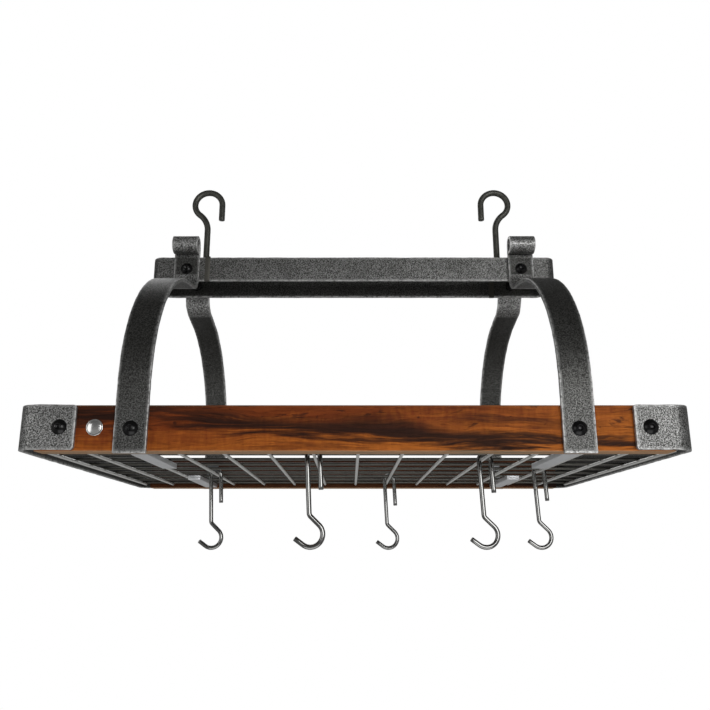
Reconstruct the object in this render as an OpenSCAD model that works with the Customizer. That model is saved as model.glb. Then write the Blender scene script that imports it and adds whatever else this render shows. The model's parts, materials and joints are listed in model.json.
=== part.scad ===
// Hanging rack for pots: two wooden boards, bent flat bar, a loose wire grid and five hooks.
// The origin is over the middle of the rack, level with the inside top of the ceiling hooks' crooks.
// X runs along the boards, Y from the front board to the rear board, Z up.

/* [Overall] */
// Length over the two end bands
rack_length = 762; // [700:1:840]
// Depth over the outer faces of the two boards
rack_depth = 526; // [500:1:560]
// Width of the flat bar of the straps and the top frame
bar_w = 37.4; // [34:0.1:42]
// Thickness of the flat bar
bar_t = 4.8; // [4:0.1:6]

/* [Boards] */
// Height of a board
board_h = 52.4; // [50:0.1:60]
// Thickness of a board
board_t = 25; // [22:0.5:28]
// Gap from a board's end to the start of the end band's bend
board_end_gap = 0.5; // [0.5:0.5:6]

/* [End bands] */
// Height of an end band
band_h = 51; // [46:0.5:56]
// Height of a band's lower edge above the boards' underside
band_lift = 1.3; // [0:0.1:4]
// Reach of a band's leg, from the end of the rack
band_leg = 68; // [64:0.5:75]
// Outer radius of a band's bend
band_bend_r = 22; // [16:0.5:26]
// Radius of the free corners of a leg
band_tip_r = 4; // [1:0.5:8]
// Distance of the band screws from the end of the rack
band_screw_in = 50.4; // [48:0.1:54]

/* [Straps] */
// Distance of a strap's centre line from the end of the rack
strap_in = 130.3; // [124:0.1:134]
// Reach of a front strap below the boards' underside
strap_drop = 2.5; // [0:0.5:6]
// Reach of a rear strap below the boards' underside
rear_strap_drop = 0; // [0:0.5:6]
// Height at which the straight foot of a strap ends
strap_foot = 75; // [68:1:90]
// Outer radius of the lower part of the arch
arch_low_r = 180; // [172:1:188]
// Angle of the lower part of the arch
arch_low_angle = 40; // [36:1:44]
// Outer radius of the upper part of the arch
arch_high_r = 204; // [196:1:210]
// Slope of the run that follows the arch
arch_slope = 10; // [8:0.5:12]
// Inner radius of the bend up to the top frame
strap_bend_r = 27; // [22:0.5:30]
// Outer radius of the scroll at the top of a strap
scroll_r = 13.4; // [12:0.1:16]
// Height of a scroll's centre above the top frame
scroll_rise = 14.2; // [13.6:0.1:20]
// Angle through which a scroll is rolled
scroll_angle = 300; // [270:5:305]

/* [Top frame] */
// Reach of the top frame past a strap's centre line
frame_reach = 53.4; // [50:0.1:66]
// Depth of the top frame
frame_depth = 80; // [76:1:90]
// Outer radius of the top frame's corners
frame_bend_r = 15; // [10:0.5:28]
// Depth of the frame's lower edge below the top of the strap bend
frame_seat = 9.2; // [8:0.1:12]
// Distance of a welded joint from the strap's centre line
weld_in = 30.2; // [27:0.1:36]
// Width of a weld
weld_w = 8; // [6:0.5:10]
// Height of a weld above the frame's faces
weld_proud = 0.6; // [0.4:0.1:1]
// Rise of a weld above the frame's upper edge
weld_rise = 2; // [1:0.5:3]

/* [Ceiling hooks] */
// Distance of a ceiling hook from the strap's centre line, with the two hooks centred
hook_in = 22.7; // [22:0.1:26]
// Distance by which the two hooks lie off centre, to the left
hook_shift = 3.4; // [0:0.1:3.6]
// Diameter of a ceiling hook's rod
hook_rod_d = 9.5; // [8:0.1:10]
// Radius of a crook, to the middle of the rod
hook_crook_r = 21.6; // [20:0.4:26]
// Height of the neck's start above the top frame
hook_neck_rise = 62; // [55:1:90]
// Length of the straight tip
hook_tip = 26; // [18:1:28]
// Width of the cross plate that carries a hook
plate_w = 25; // [24:0.5:27]
// Depth of the plate's upper face below the frame's upper edge
plate_drop = 6.3; // [2:0.1:8]
// Height of a hook nut
hook_nut_h = 8; // [6:0.1:8.5]
// Width across the flats of a hook nut
hook_nut_af = 14.3; // [13:0.1:14.5]
// Length of rod below the lower nut
hook_thread_end = 3; // [1:0.5:5]

/* [Wire grid] */
// Diameter of the grid's rods
grid_rod_d = 4; // [3.6:0.1:5]
// Number of cross rods, which run from front to back
cross_count = 15; // [13:2:17]
// Number of long rods, which run along the rack
long_count = 9; // [9:2:11]
// Gap from a long rod's end to the end band, with the grid centred
grid_end_gap = 6.2; // [5:0.1:10]
// Gap from a cross rod's end to the bracket
grid_side_gap = 1.2; // [0.6:0.1:3]
// Reach of a rod past the outermost rod that it crosses, to that rod's middle
grid_overhang = 2.5; // [2.4:0.1:5]
// Width of the outermost bay at each end
grid_end_bay = 47.4; // [44:0.1:50]
// Width of the next bay, which ends beside the bracket
grid_next_bay = 53.3; // [52:0.1:56]
// Distance by which the loose grid lies off centre
grid_shift = 4; // [0:0.5:4.5]
// Depth of the weld bite where two rods cross
weld_bite = 0.8; // [0.5:0.1:1.2]

/* [Grid brackets] */
// Width of a bracket
bracket_w = 19; // [17:0.5:20]
// Thickness of a bracket
bracket_t = 6.4; // [5.5:0.1:7]
// Reach of a bracket from the board
bracket_len = 157; // [145:1:165]
// Height of a bracket's flange on the board
bracket_rise = 42; // [40:1:48]
// Outer radius of a bracket's bend
bracket_bend_r = 8; // [7.5:0.5:9]
// Distance of a bracket's middle from its screw, towards the middle of the rack
bracket_offset = 1.7; // [0:0.1:2]

/* [Screws] */
// Diameter of the screws
screw_d = 9.5; // [7:0.1:10]
// Diameter of a screw head
head_d = 17.5; // [15:0.1:18.4]
// Height of a screw head
head_h = 5; // [4:0.1:6]
// Width across the flats of the socket
socket_af = 5.6; // [5:0.1:6]
// Depth of the socket
socket_depth = 2.6; // [2:0.1:3]
// Length of a band screw's shank in the wood
band_screw_bite = 16; // [12:1:20]
// Height of a strap's lower screw above the boards' underside
strap_screw_z = 25.2; // [24:0.1:28]
// Distance of a strap's upper screw above the frame's lower edge
top_screw_rise = 17.6; // [17.4:0.1:20]
// Height of a screw nut
nut_h = 8.2; // [7:0.1:9]
// Width across the flats of a screw nut
nut_af = 14.3; // [13.5:0.1:15]

/* [Badge] */
// Diameter of the round disc on the front board
badge_d = 19; // [16:0.5:22]
// Distance of the disc from the end of the rack
badge_in = 88.8; // [88:0.1:96]
// Thickness of the disc's rim
badge_rim_t = 1.4; // [1:0.1:2]
// Rise of the disc's dome
badge_dome = 1.2; // [0.8:0.1:1.6]

/* [Pot hooks] */
// Diameter of a pot hook's wire
wire_d = 6; // [5:0.1:6.5]
// Radius of the saddle, to the middle of the wire
saddle_r = 7.5; // [7:0.1:9]
// Length of the short straight leg
short_leg = 41; // [28:1:44]
// Length of the long straight leg
long_leg = 67.3; // [55:0.1:80]
// Radius of the bend below the long leg, to the middle of the wire
leg_bend_r = 6; // [4:0.5:8]
// Angle of that bend
leg_bend_angle = 43; // [36:1:50]
// Length of the straight run from the bend to the bowl
bowl_lead = 14; // [10:0.5:18]
// Radius of the bowl, to the middle of the wire
bowl_r = 14.6; // [13:0.1:18]
// Angle by which the bowl runs past its lowest point
bowl_turn = 39; // [30:1:60]
// Length of the straight tip
bowl_tip = 12; // [6:0.5:16]

/* [Hidden] */
$fn = 72;
// Overrun of a cutting shape past the face it cuts
over = 1;
// Clearance between a sliding or resting piece and its seat
rest_gap = 0.3;
// Radial clearance of a screw in its hole
hole_gap = 0.2;
// Radial clearance of a hook rod in its plate
swivel_gap = 0.1;
// Number of steps in a rounded outline corner, and in the stretches of a strap's outline
corner_steps = 6;
arch_steps = 20;
bend_steps = 16;
scroll_steps = 40;
// Direction of a ceiling hook's rod where its two bends meet, across and along, as shares of one
hook_lean_shares = [0.6, 0.8];
// Ball in the joint of two stretches of a pot hook's wire, as a share of the wire's radius
wire_ball_share = 1.07;
// Ring of the badge, as a share of its radius
badge_ring_share = 0.84;

half_len = rack_length / 2;
half_dep = rack_depth / 2;
board_half = half_len - band_bend_r - board_end_gap;
strap_x = half_len - strap_in;
weld_x = strap_x - weld_in;
hook_x = strap_x - hook_in;

// Outer face of a strap: the arch, the sloping run and the bend up to the frame
strap_face_y = half_dep + bar_t;
frame_half_y = frame_depth / 2;
frame_half_x = strap_x + frame_reach;
arch_end_angle = 90 - arch_slope;
low_cy = strap_face_y - arch_low_r;
low_cz = strap_foot;
high_cy = low_cy + (arch_low_r - arch_high_r) * cos(arch_low_angle);
high_cz = low_cz + (arch_low_r - arch_high_r) * sin(arch_low_angle);
run_y = high_cy + arch_high_r * cos(arch_end_angle);
run_z = high_cz + arch_high_r * sin(arch_end_angle);
bend_cy = frame_half_y + bar_t + strap_bend_r;
run_end_y = bend_cy - strap_bend_r * sin(arch_slope);
run_end_z = run_z + (run_y - run_end_y) * tan(arch_slope);
bend_cz = run_end_z + strap_bend_r * cos(arch_slope);

frame_z = bend_cz - frame_seat;
frame_top = frame_z + bar_w;
scroll_cy = frame_half_y + scroll_r;
scroll_cz = frame_top + scroll_rise;
top_screw_z = frame_z + top_screw_rise;

// Ceiling hook: the neck's bend meets the crook where both have the same direction
hook_neck_z = frame_top + hook_neck_rise;
hook_neck_r = hook_crook_r * hook_lean_shares[0] / (1 - hook_lean_shares[0]);
hook_neck_drop = (hook_neck_r + hook_crook_r) * hook_lean_shares[1];
hook_crook_z = hook_neck_z + hook_neck_drop;
plate_top = frame_top - plate_drop;
plate_low = plate_top - bar_t;
hook_low = plate_low - rest_gap - hook_nut_h - hook_thread_end;
hang_z = hook_crook_z + hook_crook_r - hook_rod_d / 2;

// Wire grid: the long rods lie on the brackets and the cross rods hang below them
grid_r = grid_rod_d / 2;
mid_cross = (cross_count - 1) / 2;
mid_long = (long_count - 1) / 2;
long_z = bracket_t + rest_gap + grid_r;
cross_z = long_z - grid_rod_d + weld_bite;
grid_half_x = half_len - bar_t - grid_end_gap;
grid_half_y = half_dep - board_t - bracket_t - grid_side_gap;
edge_x = grid_half_x - grid_overhang;
edge_y = grid_half_y - grid_overhang;
near_x = edge_x - grid_end_bay - grid_next_bay;
cross_pitch = 2 * near_x / (cross_count - 5);
long_pitch = 2 * edge_y / (long_count - 1);
function half_x(n) = n == mid_cross ? edge_x : n == mid_cross - 1 ? near_x + grid_next_bay : n * cross_pitch;
function cross_x(i) = grid_shift + sign(i - mid_cross) * half_x(abs(i - mid_cross));
function long_y(j) = (j - mid_long) * long_pitch;

// Pot hooks: the cross rod that each hangs on, counted from the middle one, and its bay
pot_rod_steps = [-4, -1, 1, 3, 5];
pot_bays = [0, -4, 2, -3, 0];
// Place of each hook across its bay, as a share of the bay
pot_bay_shares = [0.87, 0.49, 0.175, 0.34, 0.105];
function pot_x(k) = cross_x(mid_cross + pot_rod_steps[k]);
function pot_y(k) = long_y(mid_long + pot_bays[k]) + pot_bay_shares[k] * long_pitch;
saddle_z = grid_r + rest_gap + wire_d / 2 - saddle_r;

// Ends and centres of a pot hook's stretches, across and up from the middle of its saddle
leg_out = [-cos(leg_bend_angle), -sin(leg_bend_angle)];
lead_way = [sin(leg_bend_angle), -cos(leg_bend_angle)];
tip_out = [-sin(bowl_turn), -cos(bowl_turn)];
tip_way = [-cos(bowl_turn), sin(bowl_turn)];
leg_end = [-saddle_r, -long_leg];
leg_bend_mid = leg_end + [leg_bend_r, 0];
lead_start = leg_bend_mid + leg_bend_r * leg_out;
lead_end = lead_start + bowl_lead * lead_way;
bowl_mid = lead_end + bowl_r * leg_out;
tip_start = bowl_mid + bowl_r * tip_out;
bowl_sweep = 90 + leg_bend_angle + bowl_turn;

// Balance of the bent wire about its rod, from the length and middle of each stretch
function arc_run(r, a) = r * a * PI / 180;
function arc_middle(mid, r, from, to) = mid
    + r * sin((to - from) / 2) / ((to - from) * PI / 360) * [cos((from + to) / 2), sin((from + to) / 2)];
stretch_runs = [short_leg, arc_run(saddle_r, 180), long_leg, arc_run(leg_bend_r, leg_bend_angle),
    bowl_lead, arc_run(bowl_r, bowl_sweep), bowl_tip];
stretch_mids = [[saddle_r, -short_leg / 2], arc_middle([0, 0], saddle_r, 0, 180), [-saddle_r, -long_leg / 2],
    arc_middle(leg_bend_mid, leg_bend_r, 180, 180 + leg_bend_angle), lead_start + bowl_lead / 2 * lead_way,
    arc_middle(bowl_mid, bowl_r, leg_bend_angle - bowl_sweep, leg_bend_angle),
    tip_start + bowl_tip / 2 * tip_way];
wire_run = stretch_runs * [for (run = stretch_runs) 1];
wire_moment = stretch_runs * stretch_mids + wire_run * [0, saddle_z];
pot_tilt = atan2(wire_moment[0], -wire_moment[1]);

steel = [0.30, 0.30, 0.29];
dark_steel = [0.20, 0.20, 0.20];
pale_steel = [0.68, 0.68, 0.68];
bright = [0.80, 0.80, 0.80];
wood = [0.55, 0.26, 0.12];
black = [0.04, 0.04, 0.04];

// Lowers the rack from its boards' underside to its hanging point
module hung() { translate([0, 0, -hang_z]) children(); }

// Places the hooks' pieces, which are drawn at the right, on either side
module hooked(side) { translate([-hook_shift, 0, 0]) mirror([side, 0, 0]) children(); }

// Turns a shape drawn in the plane of depth and height so that it is extruded along the rack
module side_on() { rotate([90, 0, 90]) children(); }

// A quarter bend of bar, bent the easy way, seen from above
module plan_bend(r, t, h, start) {
    rotate_extrude(angle = 90, start = start)
        translate([r - t, 0])
            square([t, h]);
}

// A shank's hole, along the depth
module cross_hole(x, y_from, y_to, z, r) {
    translate([x, y_to, z])
        rotate([90, 0, 0])
            cylinder(h = y_to - y_from, r = r);
}

screw_hole_r = screw_d / 2 + hole_gap;

// A board at the rear, bored for its two strap screws and two band screws
module board() {
    difference() {
        translate([-board_half, half_dep - board_t, 0])
            cube([2 * board_half, board_t, board_h]);
        for (side = [-1, 1]) {
            cross_hole(side * strap_x, half_dep - board_t - over, half_dep + over,
                strap_screw_z, screw_hole_r);
            cross_hole(side * (half_len - band_screw_in), half_dep - band_screw_bite - hole_gap,
                half_dep + over, band_lift + band_h / 2, screw_hole_r);
        }
    }
}

// Outline of a band's leg: square at the bend, rounded at the free end
module leg_outline(reach) {
    polygon(concat([[0, 0]],
        [for (i = [0:corner_steps]) [reach - band_tip_r + band_tip_r * sin(90 * i / corner_steps),
            band_tip_r - band_tip_r * cos(90 * i / corner_steps)]],
        [for (i = [0:corner_steps]) [reach - band_tip_r + band_tip_r * cos(90 * i / corner_steps),
            band_h - band_tip_r + band_tip_r * sin(90 * i / corner_steps)]],
        [[0, band_h]]));
}

// A band for the right end
module end_band() {
    leg = band_leg - band_bend_r;
    bend_x = half_len - band_bend_r;
    bend_y = strap_face_y - band_bend_r;
    difference() {
        translate([0, 0, band_lift]) union() {
            translate([half_len - bar_t, -bend_y, 0])
                cube([bar_t, 2 * bend_y, band_h]);
            for (side = [0, 1]) mirror([0, side, 0]) {
                translate([bend_x, bend_y, 0])
                    plan_bend(band_bend_r, bar_t, band_h, 0);
                translate([bend_x, half_dep, 0])
                    rotate([90, 0, 180])
                        linear_extrude(height = bar_t)
                            leg_outline(leg);
            }
        }
        for (side = [0, 1]) mirror([0, side, 0])
            cross_hole(half_len - band_screw_in, half_dep - over, strap_face_y + over,
                band_lift + band_h / 2, screw_hole_r);
    }
}

function arc_points(cy, cz, r, from, to, steps) =
    [for (i = [0:steps]) let (a = from + (to - from) * i / steps) [cy + r * cos(a), cz + r * sin(a)]];
function tail(points) = [for (i = [1:len(points) - 1]) points[i]];

// One face of a strap from foot to scroll, set in by the given thickness from the outer face
function strap_side(t, drop) = concat([[strap_face_y - t, -drop]],
    arc_points(low_cy, low_cz, arch_low_r - t, 0, arch_low_angle, arch_steps),
    tail(arc_points(high_cy, high_cz, arch_high_r - t, arch_low_angle, arch_end_angle, arch_steps)),
    arc_points(bend_cy, bend_cz, strap_bend_r + t, 270 - arch_slope, 180, bend_steps),
    arc_points(scroll_cy, scroll_cz, scroll_r - bar_t + t, 180, 180 - scroll_angle, scroll_steps));

// A strap for the rear right: foot, arch, sloping run, bend, upright and scroll
module strap(drop) {
    outer = strap_side(0, drop);
    inner = strap_side(bar_t, drop);
    difference() {
        side_on() translate([0, 0, strap_x - bar_w / 2])
            linear_extrude(height = bar_w)
                polygon(concat(outer, [for (i = [len(inner) - 1:-1:0]) inner[i]]));
        cross_hole(strap_x, half_dep - over, strap_face_y + over, strap_screw_z, screw_hole_r);
        cross_hole(strap_x, frame_half_y - over, frame_half_y + bar_t + over, top_screw_z, screw_hole_r);
    }
}

// Half of the top frame: the right end, the long front bar and the short rear bar
module frame_half() {
    bend_x = frame_half_x - frame_bend_r;
    bend_y = frame_half_y - frame_bend_r;
    difference() {
        translate([0, 0, frame_z]) union() {
            translate([frame_half_x - bar_t, -bend_y, 0])
                cube([bar_t, 2 * bend_y, bar_w]);
            translate([bend_x, bend_y, 0])
                plan_bend(frame_bend_r, bar_t, bar_w, 0);
            translate([bend_x, -bend_y, 0])
                plan_bend(frame_bend_r, bar_t, bar_w, 270);
            translate([-weld_x + weld_w / 2, -frame_half_y, 0])
                cube([bend_x + weld_x - weld_w / 2, bar_t, bar_w]);
            translate([weld_x + weld_w / 2, frame_half_y - bar_t, 0])
                cube([bend_x - weld_x - weld_w / 2, bar_t, bar_w]);
        }
        cross_hole(strap_x, -frame_half_y - over, -frame_half_y + bar_t + over, top_screw_z, screw_hole_r);
        cross_hole(strap_x, frame_half_y - bar_t - over, frame_half_y + over, top_screw_z, screw_hole_r);
    }
}

// Weld of the front joint: it fills the joint and stands proud in front and on top
module weld() {
    bead_r = (weld_w * weld_w / 4 + weld_proud * weld_proud) / (2 * weld_proud);
    translate([-weld_x, -frame_half_y, frame_z])
        linear_extrude(height = bar_w + weld_rise)
            union() {
                translate([-weld_w / 2, 0])
                    square([weld_w, bar_t]);
                intersection() {
                    translate([0, bead_r - weld_proud])
                        circle(r = bead_r);
                    translate([-weld_w, -weld_w])
                        square([2 * weld_w, weld_w]);
                }
            }
}

// A cross plate at the right, bored for its hook
module hook_plate() {
    plate_y = frame_half_y - bar_t;
    difference() {
        translate([hook_x - plate_w / 2, -plate_y, plate_low])
            cube([plate_w, 2 * plate_y, bar_t]);
        translate([hook_x, 0, plate_low - over])
            cylinder(h = bar_t + 2 * over, r = hook_rod_d / 2 + swivel_gap);
    }
}

// A full turn of bent rod
module ring(r, rod_r) {
    rotate_extrude()
        translate([r, 0]) circle(r = rod_r);
}

// A ceiling hook at the right: shank, neck bent outwards, crook over the shank, straight tip
module ceiling_hook() {
    rod_r = hook_rod_d / 2;
    lean = hook_lean_shares;
    reach = 2 * (hook_neck_r + hook_rod_d);
    translate([hook_x, 0, hook_crook_z]) rotate([90, 0, 0]) union() {
        translate([0, hook_low - hook_crook_z, 0])
            rotate([-90, 0, 0]) cylinder(h = hook_neck_z - hook_low, r = rod_r);
        translate([hook_neck_r, -hook_neck_drop, 0]) intersection() {
            ring(hook_neck_r, rod_r);
            translate([0, 0, -hook_rod_d])
                linear_extrude(height = 2 * hook_rod_d)
                    polygon([[0, 0], [-reach * lean[0], reach * lean[1]], [-reach, reach], [-reach, 0]]);
        }
        difference() {
            ring(hook_crook_r, rod_r);
            translate([0, 0, -hook_rod_d])
                linear_extrude(height = 2 * hook_rod_d)
                    polygon([[0, 0], [-reach, 0], [-reach, -reach], [reach * lean[0], -reach * lean[1]]]);
        }
        translate([-hook_crook_r, -hook_tip, 0])
            rotate([-90, 0, 0]) cylinder(h = hook_tip, r = rod_r);
    }
}

// A hexagonal nut standing on its seat
module nut(af, h, bore_r) {
    difference() {
        cylinder(h = h, r = af / sqrt(3), $fn = 6);
        translate([0, 0, -over])
            cylinder(h = h + 2 * over, r = bore_r);
    }
}

// Nuts above and below the right plate
module hook_nuts() {
    for (z = [plate_top + rest_gap, plate_low - rest_gap - hook_nut_h])
        translate([hook_x, 0, z])
            nut(hook_nut_af, hook_nut_h, hook_rod_d / 2 + swivel_gap);
}

// A bracket at the rear right: flange on the board's inner face, bend and level leg
module bracket() {
    face_y = half_dep - board_t;
    mid_x = strap_x - bracket_offset;
    difference() {
        side_on() translate([0, 0, mid_x - bracket_w / 2]) union() {
            translate([face_y - bracket_t, bracket_bend_r, 0])
                cube([bracket_t, bracket_rise - bracket_bend_r, bracket_w]);
            translate([face_y - bracket_bend_r, bracket_bend_r, 0])
                rotate_extrude(angle = 90, start = 270)
                    translate([bracket_bend_r - bracket_t, 0]) square([bracket_t, bracket_w]);
            translate([face_y - bracket_len, 0, 0])
                cube([bracket_len - bracket_bend_r, bracket_t, bracket_w]);
        }
        cross_hole(strap_x, face_y - bracket_t - over, face_y + over, strap_screw_z, screw_hole_r);
    }
}

// Button head with a hexagon socket; the head stands along +Z and the shank runs below
module screw(shank) {
    head_r = head_d / 2;
    cap_r = (head_r * head_r + head_h * head_h) / (2 * head_h);
    difference() {
        union() {
            intersection() {
                translate([0, 0, head_h - cap_r])
                    sphere(r = cap_r);
                cylinder(h = head_h + over, r = cap_r + over);
            }
            translate([0, 0, -shank])
                cylinder(h = shank, r = screw_d / 2);
        }
        translate([0, 0, head_h - socket_depth])
            cylinder(h = socket_depth + over, r = socket_af / sqrt(3), $fn = 6);
    }
}

// Places a screw through a rear face, pointing forwards
module rear_screw(x, y, z, shank) {
    translate([x, y, z])
        rotate([-90, 0, 0])
            screw(shank);
}

// The four places of a piece that is drawn at the rear right
module four_corners() {
    for (mx = [0, 1]) for (my = [0, 1])
        mirror([mx, 0, 0]) mirror([0, my, 0]) children();
}

// A straight stretch of wire from a point, towards an angle
module wire_line(start, angle, length) {
    translate([start[0], start[1], 0])
        rotate([0, 0, angle])
            rotate([0, 90, 0]) cylinder(h = length, r = wire_d / 2);
}

// A bent stretch of wire about its centre
module wire_bend(mid, bend_r, from, turn) {
    translate([mid[0], mid[1], 0])
        rotate_extrude(angle = turn, start = from)
            translate([bend_r, 0]) circle(r = wire_d / 2);
}

// The ball in a joint of two stretches, with its poles along the wire
module wire_joint(place, angle) {
    translate([place[0], place[1], 0])
        rotate([0, 0, angle])
            rotate([0, 90, 0]) sphere(r = wire_d / 2 * wire_ball_share);
}

// A pot hook about its cross rod: short leg, saddle, long leg, bend, straight run, bowl and tip
module pot_hook_shape() {
    rotate([0, pot_tilt, 0]) translate([0, 0, saddle_z]) rotate([90, 0, 0]) union() {
        wire_line([saddle_r, -short_leg], 90, short_leg);
        wire_bend([0, 0], saddle_r, 0, 180);
        wire_line(leg_end, 90, long_leg);
        wire_bend(leg_bend_mid, leg_bend_r, 180, leg_bend_angle);
        wire_line(lead_start, leg_bend_angle - 90, bowl_lead);
        wire_bend(bowl_mid, bowl_r, leg_bend_angle - bowl_sweep, bowl_sweep);
        wire_line(tip_start, 180 - bowl_turn, bowl_tip);
        wire_joint(lead_start, leg_bend_angle - 90);
        wire_joint(lead_end, leg_bend_angle - 90);
        wire_joint(tip_start, 180 - bowl_turn);
    }
}

module front_board() { color(wood) hung() mirror([0, 1, 0]) board(); }
module rear_board() { color(wood) hung() board(); }
module left_end_band() { color(steel) hung() mirror([1, 0, 0]) end_band(); }
module right_end_band() { color(steel) hung() end_band(); }
module strap_front_left() { color(steel) hung() mirror([1, 0, 0]) mirror([0, 1, 0]) strap(strap_drop); }
module strap_front_right() { color(steel) hung() mirror([0, 1, 0]) strap(strap_drop); }
module strap_rear_left() { color(steel) hung() mirror([1, 0, 0]) strap(rear_strap_drop); }
module strap_rear_right() { color(steel) hung() strap(rear_strap_drop); }
module top_frame_front_half() { color(steel) hung() frame_half(); }
module top_frame_rear_half() { color(steel) hung() rotate([0, 0, 180]) frame_half(); }
module top_frame_welds() { color(pale_steel) hung() for (a = [0, 180]) rotate([0, 0, a]) weld(); }
module hook_plate_left() { color(steel) hung() hooked(1) hook_plate(); }
module hook_plate_right() { color(steel) hung() hooked(0) hook_plate(); }
module ceiling_hook_left() { color(dark_steel) hung() hooked(1) ceiling_hook(); }
module ceiling_hook_right() { color(dark_steel) hung() hooked(0) ceiling_hook(); }
module hook_nuts_left() { color(dark_steel) hung() hooked(1) hook_nuts(); }
module hook_nuts_right() { color(dark_steel) hung() hooked(0) hook_nuts(); }

module grid_long_rods() {
    color(pale_steel) hung()
        for (j = [0:long_count - 1])
            translate([grid_shift - grid_half_x, long_y(j), long_z])
                rotate([0, 90, 0]) cylinder(h = 2 * grid_half_x, r = grid_r, $fn = 32);
}

module grid_cross_rods() {
    color(pale_steel) hung()
        for (i = [0:cross_count - 1])
            translate([cross_x(i), grid_half_y, cross_z])
                rotate([90, 0, 0]) cylinder(h = 2 * grid_half_y, r = grid_r, $fn = 32);
}

module bracket_front_left() { color(pale_steel) hung() mirror([1, 0, 0]) mirror([0, 1, 0]) bracket(); }
module bracket_front_right() { color(pale_steel) hung() mirror([0, 1, 0]) bracket(); }
module bracket_rear_left() { color(pale_steel) hung() mirror([1, 0, 0]) bracket(); }
module bracket_rear_right() { color(pale_steel) hung() bracket(); }

module band_screws() {
    color(black) hung() four_corners()
        rear_screw(half_len - band_screw_in, strap_face_y, band_lift + band_h / 2, bar_t + band_screw_bite);
}

module strap_lower_screws() {
    color(black) hung() four_corners()
        rear_screw(strap_x, strap_face_y, strap_screw_z, bar_t + board_t + bracket_t);
}

module strap_upper_screws() {
    color(black) hung() four_corners()
        rear_screw(strap_x, frame_half_y + bar_t, top_screw_z, 2 * bar_t + nut_h);
}

module strap_upper_nuts() {
    color(black) hung() four_corners()
        translate([strap_x, frame_half_y - bar_t, top_screw_z])
            rotate([90, 0, 0]) nut(nut_af, nut_h, screw_hole_r);
}

module badge_disc() {
    badge_r = badge_d / 2;
    dome_r = badge_r * badge_ring_share;
    cap_r = (dome_r * dome_r + badge_dome * badge_dome) / (2 * badge_dome);
    color(bright) hung()
        translate([badge_in - half_len, -half_dep, band_lift + band_h / 2])
            rotate([90, 0, 0]) union() {
                cylinder(h = badge_rim_t, r = badge_r);
                intersection() {
                    translate([0, 0, badge_rim_t + badge_dome - cap_r])
                        sphere(r = cap_r);
                    translate([0, 0, badge_rim_t])
                        cylinder(h = badge_dome + over, r = badge_r + over);
                }
            }
}

module pot_hook(k) {
    color(bright) hung()
        translate([pot_x(k), pot_y(k), cross_z])
            pot_hook_shape($fn = 32);
}
module pot_hook_1() { pot_hook(0); }
module pot_hook_2() { pot_hook(1); }
module pot_hook_3() { pot_hook(2); }
module pot_hook_4() { pot_hook(3); }
module pot_hook_5() { pot_hook(4); }

front_board();
rear_board();
left_end_band();
right_end_band();
strap_front_left();
strap_front_right();
strap_rear_left();
strap_rear_right();
top_frame_front_half();
top_frame_rear_half();
top_frame_welds();
hook_plate_left();
hook_plate_right();
ceiling_hook_left();
ceiling_hook_right();
hook_nuts_left();
hook_nuts_right();
grid_long_rods();
grid_cross_rods();
bracket_front_left();
bracket_front_right();
bracket_rear_left();
bracket_rear_right();
band_screws();
strap_lower_screws();
strap_upper_screws();
strap_upper_nuts();
badge_disc();
pot_hook_1();
pot_hook_2();
pot_hook_3();
pot_hook_4();
pot_hook_5();
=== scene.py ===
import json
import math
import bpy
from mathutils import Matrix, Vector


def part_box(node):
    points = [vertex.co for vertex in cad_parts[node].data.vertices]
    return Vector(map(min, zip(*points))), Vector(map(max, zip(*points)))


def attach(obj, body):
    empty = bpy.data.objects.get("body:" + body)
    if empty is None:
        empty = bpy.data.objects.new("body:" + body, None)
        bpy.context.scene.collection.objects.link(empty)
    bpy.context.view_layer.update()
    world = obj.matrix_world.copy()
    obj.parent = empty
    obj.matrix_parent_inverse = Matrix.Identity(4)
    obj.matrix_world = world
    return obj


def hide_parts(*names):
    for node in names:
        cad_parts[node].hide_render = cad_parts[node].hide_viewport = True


bl_info = {
    "name": "Hanging Pot Rack",
    "version": (1, 0, 0),
    "blender": (4, 5, 0),
    "location": "View3D > Sidebar > Pot Rack",
    "description": "Builds the boards, bent bars, wire grid and hooks of a hanging pot rack",
    "category": "Object",
}

import bpy
from bpy.props import FloatProperty, FloatVectorProperty, IntProperty, PointerProperty
from mathutils import Matrix, Vector, noise

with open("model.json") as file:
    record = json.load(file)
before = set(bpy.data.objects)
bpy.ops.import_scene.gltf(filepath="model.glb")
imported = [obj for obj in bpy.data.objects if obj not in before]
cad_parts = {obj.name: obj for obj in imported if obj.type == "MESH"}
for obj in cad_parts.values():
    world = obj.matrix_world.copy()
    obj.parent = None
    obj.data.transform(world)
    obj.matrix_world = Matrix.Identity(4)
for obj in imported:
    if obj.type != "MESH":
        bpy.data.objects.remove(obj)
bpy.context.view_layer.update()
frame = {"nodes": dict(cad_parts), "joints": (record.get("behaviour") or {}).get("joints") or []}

BOARD_LOW, BOARD_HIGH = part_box("front_board")
BAND_LOW, BAND_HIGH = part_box("right_end_band")
ROW_Z = BOARD_LOW.z
UP, RIGHT, BACK = Vector((0, 0, 1)), Vector((1, 0, 0)), Vector((0, 1, 0))
MIRROR_X, MIRROR_Y = Matrix.Diagonal((-1, 1, 1, 1)), Matrix.Diagonal((1, -1, 1, 1))
CORNERS = {
    "rear_right": Matrix.Identity(4),
    "rear_left": MIRROR_X,
    "front_right": MIRROR_Y,
    "front_left": MIRROR_X @ MIRROR_Y,
}


def length(name, default, text):
    """A size in metres that the panel shows."""
    return FloatProperty(name=name, description=text, default=default, min=0.0, subtype="DISTANCE", unit="LENGTH")


def angle(name, degrees, text):
    """An angle that the panel shows."""
    turn = math.radians(degrees)
    return FloatProperty(name=name, description=text, default=turn, subtype="ANGLE", unit="ROTATION")


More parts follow.
